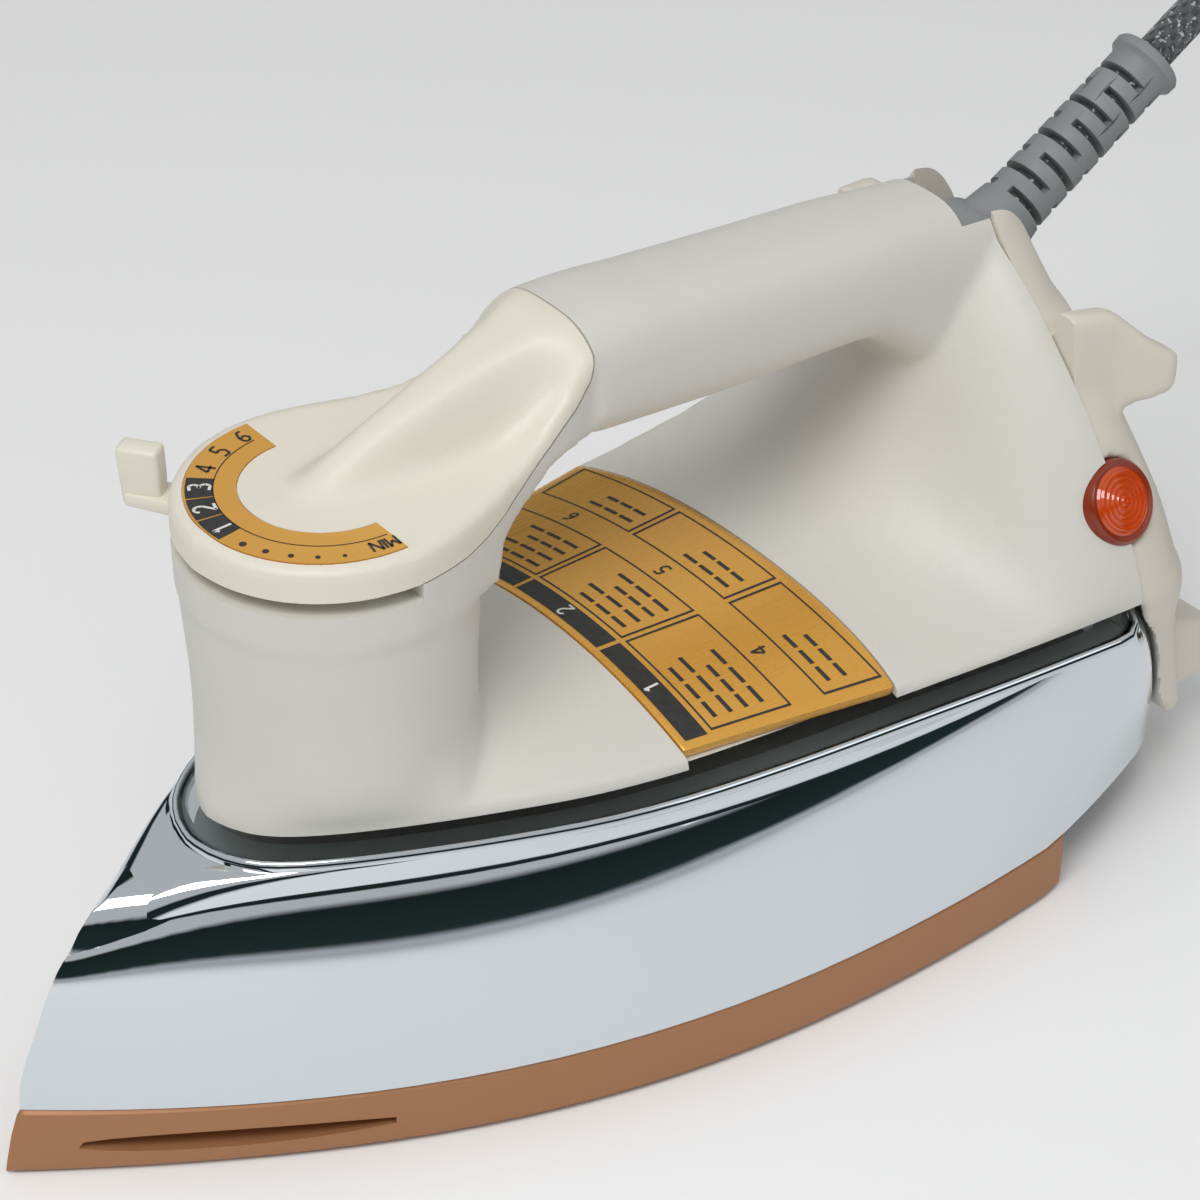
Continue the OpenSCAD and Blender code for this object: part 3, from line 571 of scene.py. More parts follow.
def coil_route():
    """In along the floor through three turns, up, and out through the layer on top."""
    points = []
    total = int(COIL_TURNS * COIL_STEPS)
    radius = smooth_table([(0, 50.5), (0.12, 47.4), (0.9, 47), (1.1, 40), (1.9, 40), (2.1, 33),
                           (3.35, 33), (3.65, 40), (4.35, 40), (4.65, 47), (5.5, 47)])
    height = smooth_table([(0, 3.5), (2.7, 3.5), (3.0, 10.5), (5.5, 10.5)])
    for i in range(1, total + 1):
        turn = i / COIL_STEPS
        angle = math.pi / 2 - 2 * math.pi * turn
        r = radius(turn)
        points.append((COIL_CENTRE[0] + r * math.cos(angle), COIL_CENTRE[1] + r * math.sin(angle),
                       height(turn)))
    return points


TAIL_ROUTE = [(256, -56.2, 10.2), (250, -58.6, 9.5), (244, -60.6, 8.8), (237, -61.8, 8.2), (229, -62, 8)]


def resample(points, step):
    """Catmull-Rom through the points, then evenly spaced."""
    pts = [Vector(p) for p in points]
    pts = [pts[0] * 2 - pts[1]] + pts + [pts[-1] * 2 - pts[-2]]
    dense = []
    for a, b, c, d in zip(pts, pts[1:], pts[2:], pts[3:]):
        for k in range(8):
            t = k / 8
            dense.append(0.5 * ((2 * b) + (c - a) * t + (2 * a - 5 * b + 4 * c - d) * t * t
                                + (3 * b - a - 3 * c + d) * t ** 3))
    dense.append(pts[-2])
    result = [dense[0]]
    left = step
    for a, b in zip(dense, dense[1:]):
        length = (b - a).length
        while left <= length:
            result.append(a.lerp(b, left / length))
            left += step
        left -= length
    if (result[-1] - dense[-1]).length < step * 0.5:
        result[-1] = dense[-1]
    else:
        result.append(dense[-1])
    return result


def sweep(name, points, radius, sides):
    """A round tube along points in millimetres, with its around and along values kept."""
    rings = []
    across = Vector((0, 1, 0))
    for i, point in enumerate(points):
        ahead = (points[min(i + 1, len(points) - 1)] - points[max(i - 1, 0)]).normalized()
        across = (across - ahead * across.dot(ahead)).normalized()
        up = ahead.cross(across)
        rings.append([point + radius * (math.cos(2 * math.pi * k / sides) * across
                                        + math.sin(2 * math.pi * k / sides) * up)
                      for k in range(sides)])
    bm = bmesh.new()
    loft(bm, rings)
    made = as_object(name, bm)
    made.data.attributes.new("round_dir", "FLOAT_VECTOR", "POINT")
    made.data.attributes.new("along", "FLOAT", "POINT")
    around = made.data.attributes["round_dir"].data
    along = made.data.attributes["along"].data
    run = 0.0
    values = []
    for i, point in enumerate(points):
        if i:
            run += (point - points[i - 1]).length * MM
        values.append(run)
    for index in range(len(made.data.vertices)):
        i, k = divmod(index, sides)
        turn = 2 * math.pi * k / sides
        around[index].vector = (math.cos(turn), math.sin(turn), 0)
        along[index].value = values[i]
    return made, run


def add_cord():
    points = resample(LEAD_ROUTE + coil_route() + TAIL_ROUTE, 4.0)
    made, length = sweep("mains_cord", points, CORD_R, 16)
    made.data.materials.append(BRAID)
    for face in made.data.polygons:
        face.use_smooth = True
    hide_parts("cord_lead", "cord_coil", "cord_tail")
    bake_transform(made)
    return made, length, points


add_camera()
cord, cord_length, cord_points = add_cord()
add_studio()

# ---- sole and chromed cover ---------------------------------------------------

RING_STEPS = 44
SOLE_T = 12
DECK_Z = 49.6
BASE_Z = 54
SKIRT_Z = 55.8


def side_half_width(x, t):
    """Half-width of the cover's side at rise t: 0 at its lower edge, 1 at the shoulder."""
    nose = -120 + 16.5 * t
    s = x - nose
    widest = 151.3 + 13.7 * t
    fore = (55 - 7.5 * t) * (1 - (1 - min(max(s, 0), widest) / widest) ** (2.27 + 0.18 * t))
    aft = 55 * 0.23 * (1 - t) * (max(0, s - widest) / 88.7) ** 2
    tuck = 0.104 * (1 - t) * max(0, x - 60) ** 1.13
    return fore - aft - tuck


HANDLE_EDGE = smooth_table([(-81, 0), (-80.6, 2.4), (-79.6, 5.2), (-77.4, 8.9), (-74, 12.2), (-68, 16.2),
                            (-61, 20), (-54.5, 23.2), (-43.3, 28.2), (-27.2, 34.4), (-13.2, 38.1),
                            (8, 41.8), (30.6, 44.7), (56, 47.8), (81.3, 50.2), (95, 51)])


def eased(start, end, count):
    return [start + (end - start) * (1 - math.cos(math.pi * i / (count - 1))) / 2 for i in range(count)]


def rear_corner(x, rear, size, power=2.6):
    return max(0.0, 1 - max(0.0, (x - rear + size) / size) ** power) ** (1 / power)


def side_ring(t, z, grow=0.0, rear=None, size=14):
    nose = -120 + 16.5 * t - grow
    rear = (107 - 13 * t if rear is None else rear) + grow
    xs = eased(nose, rear, RING_STEPS)

    def half(x):
        if x <= nose or x >= rear:
            return 0.0
        return max(0.0, side_half_width(x + grow * 0.2, t) + grow) * rear_corner(x, rear, size)
    return [(x, -half(x), z) for x in xs] + [(x, half(x), z) for x in reversed(xs[1:-1])]


def handle_ring(off, z, rear, size=14):
    """The handle's edge grown outward by off."""
    nose = -81 - off
    xs = eased(nose, rear, RING_STEPS)

    def half(x):
        if x <= nose or x >= rear:
            return 0.0
        s = x - nose
        blunt = math.sqrt(s / (s + 4))
        return (HANDLE_EDGE(x + off * math.exp(-s / 14)) + off * blunt) * rear_corner(x, rear, size)
    return [(x, -half(x), z) for x in xs] + [(x, half(x), z) for x in reversed(xs[1:-1])]


def between(ring_a, ring_b, t, z):
    return [(a[0] + (b[0] - a[0]) * t, a[1] + (b[1] - a[1]) * t, z) for a, b in zip(ring_a, ring_b)]


def lean(ring, reach):
    """Draws the nose end of a ring forward by reach, fading to nothing behind it."""
    return [(x - reach * max(0.0, min(1.0, (-x - 40) / 80)) ** 3, y, z) for x, y, z in ring]


def add_sole():
    """The cast plate: its nose leans forward, and a button slit runs round it."""
    bm = bmesh.new()
    profile = ((0.0, -1.2, 4.4), (0.25, -0.5, 4.2), (0.8, 0.0, 3.8), (3.0, 0.1, 3.2), (7.5, 0.2, 1.9),
               (11.2, 0.0, 0.7), (12.0, -0.7, 0.3))
    loft(bm, [lean(side_ring(0, z, grow, 69, 4), reach) for z, grow, reach in profile])
    bmesh.ops.recalc_face_normals(bm, faces=bm.faces)
    made = as_object("sole_plate", bm)
    slit = bmesh.new()
    levels = ((3.4, 0.0), (3.9, -5.0), (6.6, -5.0), (7.0, 0.0))
    outer = [lean(side_ring(0, z, 4, 69, 4), 6) for z, _ in levels]
    inner = [lean(side_ring(0, z, grow, 69, 4), 2.8) for z, grow in levels]
    for side in (-1, 1):
        count = 16
        pick = [k if side < 0 else (len(outer[0]) - k) % len(outer[0]) for k in range(6, count)]
        rings = []
        for n, k in enumerate(pick):
            fade = math.sin(math.pi * (n + 0.4) / (len(pick) - 0.2)) ** 0.5
            mid = 5.2
            ring = [inner[0][k], inner[1][k], inner[2][k], inner[3][k], outer[3][k], outer[0][k]]
            rings.append([(x, y, mid + (z - mid) * fade) for x, y, z in ring])
        loft(slit, rings)
    bmesh.ops.recalc_face_normals(slit, faces=slit.faces)
    cut(made, as_object("slit", slit))
    finish_piece(made, COPPER, "iron", ["soleplate"], 30)


def ridge_ease(ring, t, weight=1.0):
    """Lets the shoulder turn down along the nose ridge, so that the ridge is broad and round."""
    nose = ring[0][0]
    eased_ring = []
    for x, y, z in ring:
        drop = 7 * t ** 1.5 * weight * math.exp(-(max(0.0, x - nose) / 12) ** 1.3)
        eased_ring.append((x - 0.5 * drop, y, z - drop))
    return eased_ring


def add_cover():
    low = side_ring(0, 12)
    levels = ((0.0, 12.0), (0.004, 13.5), (0.03, 17), (0.13, 21.5), (0.26, 26), (0.37, 30), (0.48, 34),
              (0.59, 37.6), (0.70, 40.6), (0.79, 42.8), (0.87, 44.4), (0.94, 45.6), (1.0, 46.5))
    rings = [ridge_ease(side_ring(t, z), t) for t, z in levels]
    lip = handle_ring(4.0, 51.2, 88)
    shoulder = side_ring(1.0, 46.5)
    for t in (0.06, 0.13, 0.21, 0.30, 0.40, 0.51, 0.63, 0.76, 0.88):
        ring = between(shoulder, lip, t, 46.5 + 3.5 * (1 - (1 - t) ** 2.4))
        rings.append(ridge_ease(ring, 1, (1 - t) ** 2.2))
    for off, z in ((4.35, 50.1), (4.15, 50.7), (3.9, 51.3), (3.5, 51.55), (3.0, 51.4), (2.6, 50.8),
                   (2.2, 50.3), (1.0, 50.1), (-3.0, 50.0)):
        rings.append(handle_ring(off, z, 88 - (4 - off) * 0.5))
    rings.append(handle_ring(-3.0, 49.2, 84))
    rings.append(between(shoulder, handle_ring(-3.0, 49.2, 84), 0.2, 47.6))
    for t, z in reversed(levels[1:-1:2]):
        rings.append([(x * 0.992, y * 0.978, z - 0.5) for x, y, _ in side_ring(t, z)])
    rings.append([(x * 0.992, y * 0.978, 12.0) for x, y, _ in low])
    bm = bmesh.new()
    rings.append(rings[0])
    loft(bm, rings, close_start=False, close_end=False)
    bmesh.ops.remove_doubles(bm, verts=bm.verts, dist=1e-6)
    bmesh.ops.recalc_face_normals(bm, faces=bm.faces)
    made = as_object("chromed_cover", bm)
    finish_piece(made, CHROME, "iron", ["chrome_cover"], 60)


add_sole()
add_cover()

# ---- handle mouldings ----------------------------------------------------------

DIAL_X = -55
SLOT_LOW, SLOT_HIGH = 99.0, 102.0

RIDGE = smooth_table([(-81, 55.8), (-80, 57), (-78.5, 60), (-74, 62.5), (-66, 64), (-55, 64), (-40, 64),
                      (-12, 63.2), (20, 62.4), (30, 62.4), (36, 63.2), (42, 65.8), (48, 70.2), (54, 77), (58, 83.4),
                      (62, 92), (66, 101.5), (72, 112), (78, 117), (90, 117.5)])
FLANK_POWER = smooth_table([(-20, 2.0), (30, 2.0), (44, 1.8), (54, 1.7), (63, 1.5), (90, 1.5)])
FLANK_HOLLOW = smooth_table([(-20, 1.0), (30, 1.0), (38, 1.5), (46, 1.85), (54, 1.7), (60, 1.35), (66, 1.05),
                             (72, 0.88), (78, 0.78), (90, 0.78)])
SEAM_HALF = smooth_table([(16, 43), (40, 46), (53.8, 50.2), (60, 48.6), (65.8, 46.6), (72.2, 43.2),
                          (79.4, 38.9), (84.8, 35.4), (89.4, 32.2), (94.1, 28.7), (99.7, 23.6), (105.3, 18),
                          (109, 14.8), (113, 12.2), (116.3, 10.2), (118, 8)])


def saddle_z(x, y):
    """Height of the saddle and the rear column's front over its plan."""
    q = min(1.0, abs(y) / max(1e-6, HANDLE_EDGE(x)))
    foot = min(SKIRT_Z, RIDGE(x))
    return foot + (RIDGE(x) - foot) * (1 - q ** FLANK_POWER(x)) ** FLANK_HOLLOW(x)


def saddle_section(x, steps=24):
    half = HANDLE_EDGE(x)
    top = [(x, -half * math.sin(math.pi / 2 * k / steps), saddle_z(x, half * math.sin(math.pi / 2 * k / steps)))
           for k in range(steps, -steps - 1, -1)]
    return top + [(x, half, 46), (x, -half, 46)]


def rounded_box(x, low, high, half, power=3.0, steps=40, top_half=None):
    """A soft-cornered section across the iron."""
    mid, tall = (low + high) / 2, (high - low) / 2
    ring = []
    for k in range(steps):
        a = 2 * math.pi * k / steps
        c, s = math.cos(a), math.sin(a)
        y = math.copysign(abs(c) ** (2 / power), c)
        z = math.copysign(abs(s) ** (2 / power), s)
        wide = half if top_half is None else half + (top_half - half) * (z + 1) / 2
        ring.append((x, y * wide, mid + z * tall))
    return ring


GRIP_TOP = smooth_table([(-14, 125.0), (-4, 125.0), (10, 123.9), (30, 122.2), (50, 120.6), (66, 119.2),
                         (80, 118.0), (90, 117.2)])
GRIP_UNDER = smooth_table([(-36, 86), (-33, 92), (-29.5, 97.4), (-25, 101.5), (-19.5, 103.9), (-6.6, 102.4),
                           (12, 100.6), (25, 99.8), (50, 98.9), (56, 96), (62, 90), (68, 84), (90, 80)])
GRIP_HALF = smooth_table([(-20, 13.6), (-8, 13.4), (10, 12.8), (40, 12.6), (66, 12.8), (90, 13)])

CAP_HALF = smooth_table([(-80, 0.5), (-79.2, 6), (-77.5, 10.5), (-74, 15.8), (-68, 20.9), (-62, 23.8),
                         (-55, 25.0), (-48, 24.1), (-42, 22.3), (-36, 20.0), (-30, 17.6), (-24, 15.6),
                         (-18, 14.3), (-11, 13.8), (-4, 13.6)])
CREST = smooth_table([(-70, 107.9), (-61, 108.0), (-59, 109.0), (-57, 110.2), (-53, 112.2), (-48, 114.2),
                      (-40, 117.0), (-30, 120.2), (-20, 123.2), (-11.6, 125.2), (-4, 125.1)])
CREST_HALF = smooth_table([(-62, 0.6), (-58, 1.8), (-50, 3.0), (-40, 4.4), (-30, 6.0), (-20, 8.2), (-11, 10.2),
                           (-4, 10.6)])
SHELF = smooth_table([(-80, 107.7), (-48, 107.8), (-36, 108.0), (-30, 108.7), (-25, 110.6), (-20, 114.0),
                      (-15.5, 118.0), (-11, 121.6), (-4, 122.5)])


def cap_section(x, steps=30):
    """Rim, low shelf, hollow flank and narrow crest of the cap, with a rounded underside behind."""
    half = CAP_HALF(x)
    shelf, crest, wide = SHELF(x), CREST(x), min(CREST_HALF(x), half * 0.75)
    fall = 5.0 + 0.05 * (x + 60)
    ring = []
    for k in range(-steps, steps + 1):
        y = half * math.sin(math.pi / 2 * k / steps)
        away = max(0.0, min(1.0, (abs(y) - wide * 0.55) / min(fall, max(1.0, half - wide * 0.55 - 1.0))))
        rise = 1 - away * away * (3 - 2 * away)
        crown = 0.35 * (abs(y) / max(1.0, wide)) ** 2 if abs(y) < wide else 0.35
        edge = max(0.0, min(1.0, (abs(y) - (half - 1.4)) / 1.4))
        z = shelf + (crest - shelf - crown * min(1.0, max(0.0, crest - shelf) / 3)) * rise
        ring.append((x, -y, z - (1 - math.sqrt(1 - edge * edge)) * 1.4))
    if x < -34:
        return ring + [(x, -half, 92), (x, half, 92)]
    under = GRIP_UNDER(x)
    waist = max(under + 2, min(103.0, SHELF(x) - 3))
    for k in range(1, 20):
        a = math.pi * k / 20
        c, s = math.cos(a), math.sin(a)
        ring.append((x, -half * math.copysign(abs(c) ** 0.72, c), waist - (waist - under) * abs(s) ** 0.72))
    return merged_with_grip(x, ring)


def merged_with_grip(x, ring):
    """Draws a section towards the grip's own rounded section, fully from x = -8 on."""
    weight = max(0.0, min(1.0, (x + 20) / 12))
    weight = weight * weight * (3 - 2 * weight)
    mid, tall, wide = (GRIP_TOP(x) + GRIP_UNDER(x)) / 2, (GRIP_TOP(x) - GRIP_UNDER(x)) / 2, GRIP_HALF(x)
    drawn = []
    for _, y, z in ring:
        away = math.hypot(y, z - mid)
        c, s = abs(y) / away, abs(z - mid) / away
        grip = ((c / wide) ** 3 + (s / tall) ** 3) ** (-1 / 3)
        scale = (away + (grip - away) * weight) / away
        drawn.append((x, y * scale, mid + (z - mid) * scale))
    return drawn


def seam_x(z):
    return 77.8 + (116 - z) * 0.07


BACK = smooth_table([(16, 110), (27, 109.5), (36, 108), (52, 105), (68, 101), (84, 96), (98, 92), (112, 88.5),
                     (117.5, 86.5)])
LEG_FRONT = smooth_table([(16, 101.5), (23, 97), (38, 89.8), (54, 82), (56, 78)])


def rear_section(z):
    """Plan of the rear moulding at a height: square at the seam, a soft curve round the back."""
    half = SEAM_HALF(z) - 0.15
    back = BACK(z)
    front = seam_x(z) - 3 if z > 54 else LEG_FRONT(z)
    power = 3.1 if z < 100 else 2.6
    pts = [(front, -half)]
    for k in range(1, 17):
        a = math.pi / 2 * k / 16
        pts.append((front + (back - front) * math.sin(a) ** (2 / power), -half * max(0.02, math.cos(a)) ** (2 / power)))
    return [(x, y, z) for x, y in pts] + [(x, -y, z) for x, y in reversed(pts)]


def voxel_skin(made, size, rounds):
    step = made.modifiers.new("skin", "REMESH")
    step.mode = "VOXEL"
    step.voxel_size = size * MM
    baked(made)
    bm = bmesh.new()
    bm.from_mesh(made.data)
    for _ in range(rounds):
        bmesh.ops.smooth_vert(bm, verts=bm.verts, factor=0.5, use_axis_x=True, use_axis_y=True,
                              use_axis_z=True)
    bm.to_mesh(made.data)
    bm.free()
    return made


COLUMN_R = smooth_table([(46, 24.4), (54, 24.2), (63, 23.5), (69, 23.3), (75, 23.4), (82, 23.8), (89, 24.2),
                         (94, 24.6), (98, 24.8), (104, 24.9)])


def column_ring(z, steps=72):
    """The dial column: a boat-shaped foot that turns into a circle as it rises."""
    round_r = COLUMN_R(z)
    rise = max(0.0, min(1.0, (z - 55.4) / 11))
    morph = (1 - rise) ** 1.8
    ring = []
    for k in range(steps):
        a = 2 * math.pi * k / steps
        c, s = math.cos(a), math.sin(a)
        low, high = 0.0, 60.0
        for _ in range(24):
            mid = (low + high) / 2
            inside = DIAL_X + mid * c > -81 and abs(mid * s) < HANDLE_EDGE(max(-81, DIAL_X + mid * c))
            low, high = (mid, high) if inside else (low, mid)
        boat = min(low, 27.5)
        if z <= 55.4 and c > 0.2:
            boat = min(boat, round_r)
        reach = round_r + (boat - round_r) * morph
        ring.append(((DIAL_X + reach * c), reach * s, z))
    return ring


def add_forms():
    """The plastic's whole outer form before it is parted: joined lofts, which add_mouldings skins and eases afterwards.
    """
    bm = bmesh.new()
    loft(bm, [saddle_section(x) for x in [-80.6, -79.6, -78, -76, -73, -70, -66, -62, -58] + spread(-54, 84, 70)])
    loft(bm, [column_ring(z) for z in (46, 55.4, 57, 59, 61.5, 64.5, 68, 75, 82, 89, 94, 98, 102.4)])
    loft(bm, [rounded_box(x, GRIP_UNDER(x), GRIP_TOP(x), GRIP_HALF(x)) for x in spread(-30, 88, 60)
              if x > -12])
    loft(bm, [cap_section(x) for x in [-80, -79.6, -78.8, -77.5, -75.5, -73] + spread(-70, -4, 45)])
    bmesh.ops.recalc_face_normals(bm, faces=bm.faces)
    return bm


def rear_form():
    bm = bmesh.new()
    loft(bm, [rear_section(z) for z in [16.5] + spread(18, 54, 14) + spread(55, 117.5, 34)])
    return bm


SEAM_PROFILE = [(-90, 102.0), (-44, 102.0), (-39, 102.6), (-34, 103.9), (-28, 106.6), (-22, 109.6), (-16, 113.6),
                (-12.6, 117.2), (-11.4, 121), (-11.2, 140), (-90, 140)]


def seam_tool(grow):
    bm = bmesh.new()
    side_prism(bm, [(x + (grow if x > -45 else 0), z - grow if z < 125 else z) for x, z in SEAM_PROFILE], 60)
    return as_object("cap_zone", bm)


def rear_tool(grow):
    bm = bmesh.new()
    side_prism(bm, [(seam_x(130) - grow, 130), (seam_x(0) - grow, 0), (170, 0), (170, 130)], 90)
    return as_object("rear_zone", bm)


def slab(low, high, reach=200):
    bm = bmesh.new()
    prism(bm, [(-reach, -reach), (reach, -reach), (reach, reach), (-reach, reach)], low, high)
    return as_object("slab", bm)


def slot_tool():
    """The lever's slot: a ring swept round the front of the column."""
    bm = bmesh.new()
    corners = [bm.verts.new(((DIAL_X + r * math.cos(math.radians(80))) * MM, r * math.sin(math.radians(80)) * MM,
                             z * MM)) for r, z in ((13, SLOT_LOW), (32, SLOT_LOW), (32, SLOT_HIGH), (13, SLOT_HIGH))]
    face = bm.faces.new(corners)
    bmesh.ops.spin(bm, geom=[face], cent=(DIAL_X * MM, 0, 0), axis=(0, 0, 1), steps=60,
                   angle=math.radians(192))
    bmesh.ops.remove_doubles(bm, verts=bm.verts, dist=1e-7)
    bmesh.ops.recalc_face_normals(bm, faces=bm.faces)
    return as_object("slot_ring", bm)


def pocket_tool():
    bm = bmesh.new()
    side_prism(bm, [(71, 130), (71, 106), (75, 92), (120, 92), (120, 130)], 9.8)
    return as_object("pocket", bm)


LABEL_FRONT, LABEL_REAR = -11.2, 30.6
LABEL_CLEAR = 0.35


def label_half(x):
    return 36.6 + (x - LABEL_FRONT) / (LABEL_REAR - LABEL_FRONT) * 7.2


def label_end(y):
    return LABEL_REAR + 1.0 * (abs(y) / 43) ** 2 - 2.6 * (abs(y) / 43) ** 4


def label_pocket():
    bm = bmesh.new()
    c = LABEL_CLEAR
    outline = [(LABEL_FRONT - c, -60), (LABEL_FRONT - c, 60)] + \
        [(label_end(y) + c, y) for y in spread(60, -60, 30)]
    prism(bm, outline, 40, 90)
    return as_object("label_pocket", bm)


def label_bed():
    """The saddle under the label, a plate's thickness lower."""
    bm = bmesh.new()
    loft(bm, [[(x, -y, z) for _, y, z in
               [(x, yy, saddle_z(x, yy) - 2.6) for yy in spread(-HANDLE_EDGE(x) + 0.5, HANDLE_EDGE(x) - 0.5, 33)]]
              + [(x, -HANDLE_EDGE(x) + 0.5, 46), (x, HANDLE_EDGE(x) - 0.5, 46)]
              for x in spread(-20, 42, 24)])
    bmesh.ops.recalc_face_normals(bm, faces=bm.faces)
    return as_object("label_bed", bm)


LENS_AT = Vector((81.3, -42.8, 71.9))
LENS_OUT = Vector((0.06, -0.865, 0.50)).normalized()
LENS_R = 7.5


def lens_frame():
    turn = LENS_OUT.to_track_quat("Z", "Y").to_matrix().to_4x4()
    return Matrix.Translation(LENS_AT * MM) @ turn


def turned(profile, steps=64, place=None):
    """A turned solid from (radius, height) pairs in millimetres, on place's own axis."""
    bm = bmesh.new()
    path = [bm.verts.new((r * MM, 0, z * MM)) for r, z in profile]
    edges = [bm.edges.new(pair) for pair in zip(path, path[1:])]
    bmesh.ops.spin(bm, geom=path + edges, cent=(0, 0, 0), axis=(0, 0, 1), steps=steps, angle=2 * math.pi,
                   use_merge=True)
    bmesh.ops.remove_doubles(bm, verts=bm.verts, dist=1e-6)
    bmesh.ops.recalc_face_normals(bm, faces=bm.faces)
    if place is not None:
        bmesh.ops.transform(bm, matrix=place, verts=bm.verts)
    return bm


def peg_form(side):
    """A tapered hook peg that stands back from the rear moulding."""
    bm = bmesh.new()
    ring = lambda x, low, high, inner, outer: [(x, side * inner, low), (x, side * outer, low),
                                               (x, side * outer, high), (x, side * inner, high)]
    loft(bm, [ring(78, 80, 104, 26, 31), ring(88, 82.5, 102.5, 27.5, 33), ring(93.5, 84, 97, 29, 36),
              ring(97, 84.8, 94.2, 30, 37.6), ring(99.4, 86, 93, 30.6, 38)])
    bmesh.ops.recalc_face_normals(bm, faces=bm.faces)
    bmesh.ops.bevel(bm, geom=bm.edges, offset=1.0 * MM, segments=2, profile=0.5, affect="EDGES", material=-1)
    return as_object("peg", bm)


def foot_form():
    bm = bmesh.new()
    for side in (-1, 1):
        ring = lambda y: [(x, side * y, z) for x, z in
                          ((104, 17.4), (122.6, 17.1), (123.2, 18.4), (122.6, 23.6), (113, 30.5), (106, 34))]
        loft(bm, [ring(y) for y in (20, 26, 32, 37, 38.5)])
    bmesh.ops.recalc_face_normals(bm, faces=bm.faces)
    return as_object("foot", bm)


def cover_clearance():
    """The chromed cover's rear end, a little larger, to be taken out of the legs."""
    bm = bmesh.new()
    loft(bm, [side_ring(t, z, 0.8) for t, z in ((0.0, 10), (0.0, 16), (0.26, 26), (0.48, 34), (0.70, 40.6),
                                                (0.87, 45), (1.0, 48), (1.0, 53))])
    bmesh.ops.recalc_face_normals(bm, faces=bm.faces)
    return as_object("cover_clearance", bm)


def scale_recess():
    """A half ring let into the cap for the scale."""
    bm = bmesh.new()
    corners = [bm.verts.new((DIAL_X * MM, r * MM, z * MM))
               for r, z in ((13.8, 107.3), (22.5, 107.3), (22.5, 118), (13.8, 118))]
    bmesh.ops.spin(bm, geom=[bm.faces.new(corners)], cent=(DIAL_X * MM, 0, 0), axis=(0, 0, 1), steps=64,
                   angle=math.pi)
    bmesh.ops.remove_doubles(bm, verts=bm.verts, dist=1e-7)
    bmesh.ops.recalc_face_normals(bm, faces=bm.faces)
    return as_object("scale_recess", bm)


def add_mouldings():
    front = as_object("front_form", add_forms())
    voxel_skin(front, 1.0, 3)
    rear = as_object("rear_form", rear_form())
    for side in (-1, 1):
        cut(rear, peg_form(side), "UNION")
    cut(rear, foot_form(), "UNION")
    cut(rear, cover_clearance())
    cut(rear, as_object("lens_seat", turned([(0, -12), (LENS_R + 0.3, -12), (LENS_R + 0.3, 14), (0, 14)],
                                            60, lens_frame())))
    voxel_skin(rear, 0.9, 4)

    handle = front
    cap = copied(front, "dial_cap_moulding")
    cut(cap, seam_tool(0.0), "INTERSECT")
    cut(cap, scale_recess())
    cut(handle, seam_tool(0.35))
    cut(handle, rear_tool(0.35))
    cut(handle, slab(30, BASE_Z))
    cut(handle, slot_tool())
    cut(handle, pocket_tool())
    bed = label_bed()
    pocket = label_pocket()
    cut(pocket, bed)
    cut(handle, pocket)
    cut(handle, as_object("lens_seat", turned([(0, -12), (LENS_R + 0.2, -12), (LENS_R + 0.2, 20), (0, 20)],
                                              64, lens_frame())))
    finish_piece(handle, CREAM, "iron", ["handle_body"], 40)
    handle.name = "handle_moulding"
    finish_piece(cap, CAP_CREAM, "iron", ["dial_cap"], 40)

    cut(rear, rear_tool(0.0), "INTERSECT")
    cut(rear, pocket_tool())
    finish_piece(rear, REAR_CREAM, "iron", ["rear_cover"], 40)
    rear.name = "rear_moulding"


add_mouldings()

# ---- label, scale, lens, lever -------------------------------------------------


def add_label():
    """The fabric guide: an arched gold plate with a rolled edge."""
    bm = bmesh.new()
    columns, rows = 30, 44
    rings = []
    for i in range(columns + 1):
        u = i / columns
        ring = []
        for k in range(rows + 1):
            v = -1 + 2 * k / rows
            y = v * (label_half(LABEL_FRONT) + u * 7.2)
            x = LABEL_FRONT + u * (label_end(y) - LABEL_FRONT)
            ring.append((x, y, saddle_z(x, y) + 0.15))
        rings.append(ring)
    loft(bm, rings, close_start=False, close_end=False, closed=False)
    for face in bm.faces:
        if face.normal.z < 0:
            face.normal_flip()
    made = as_object("fabric_guide", bm)
    wall = made.modifiers.new("wall", "SOLIDIFY")
    wall.thickness = 2.4 * MM
    wall.offset = -1
    soft = made.modifiers.new("soft", "BEVEL")
    soft.width = 0.35 * MM
    soft.segments = 2
    soft.limit_method = "ANGLE"
    baked(made)
    finish_piece(made, GOLD, "iron", ["label_plate"], 30)


add_label()


def printed(name, patches, material, height):
    """Thin raised ink: each patch is a list of (x, y) corners in order, laid at height(x, y)."""
    bm = bmesh.new()
    for patch in patches:
        verts = [bm.verts.new((x * MM, y * MM, (height(x, y) + 0.06) * MM)) for x, y in patch]
        bm.faces.new(verts)
    bmesh.ops.triangulate(bm, faces=[f for f in bm.faces if len(f.verts) > 4])
    for face in bm.faces:
        face.normal_update()
        if face.normal.z < 0:
            face.normal_flip()
    made = as_object(name, bm)
    finish_piece(made, material, "iron", [], 30)


def strip(points, width):
    """Quads that follow a line of points at a width."""
    quads = []
    for (ax, ay), (bx, by) in zip(points, points[1:]):
        length = math.hypot(bx - ax, by - ay)
        nx, ny = -(by - ay) / length * width / 2, (bx - ax) / length * width / 2
        quads.append([(ax + nx, ay + ny), (bx + nx, by + ny), (bx - nx, by - ny), (ax - nx, ay - ny)])
    return quads


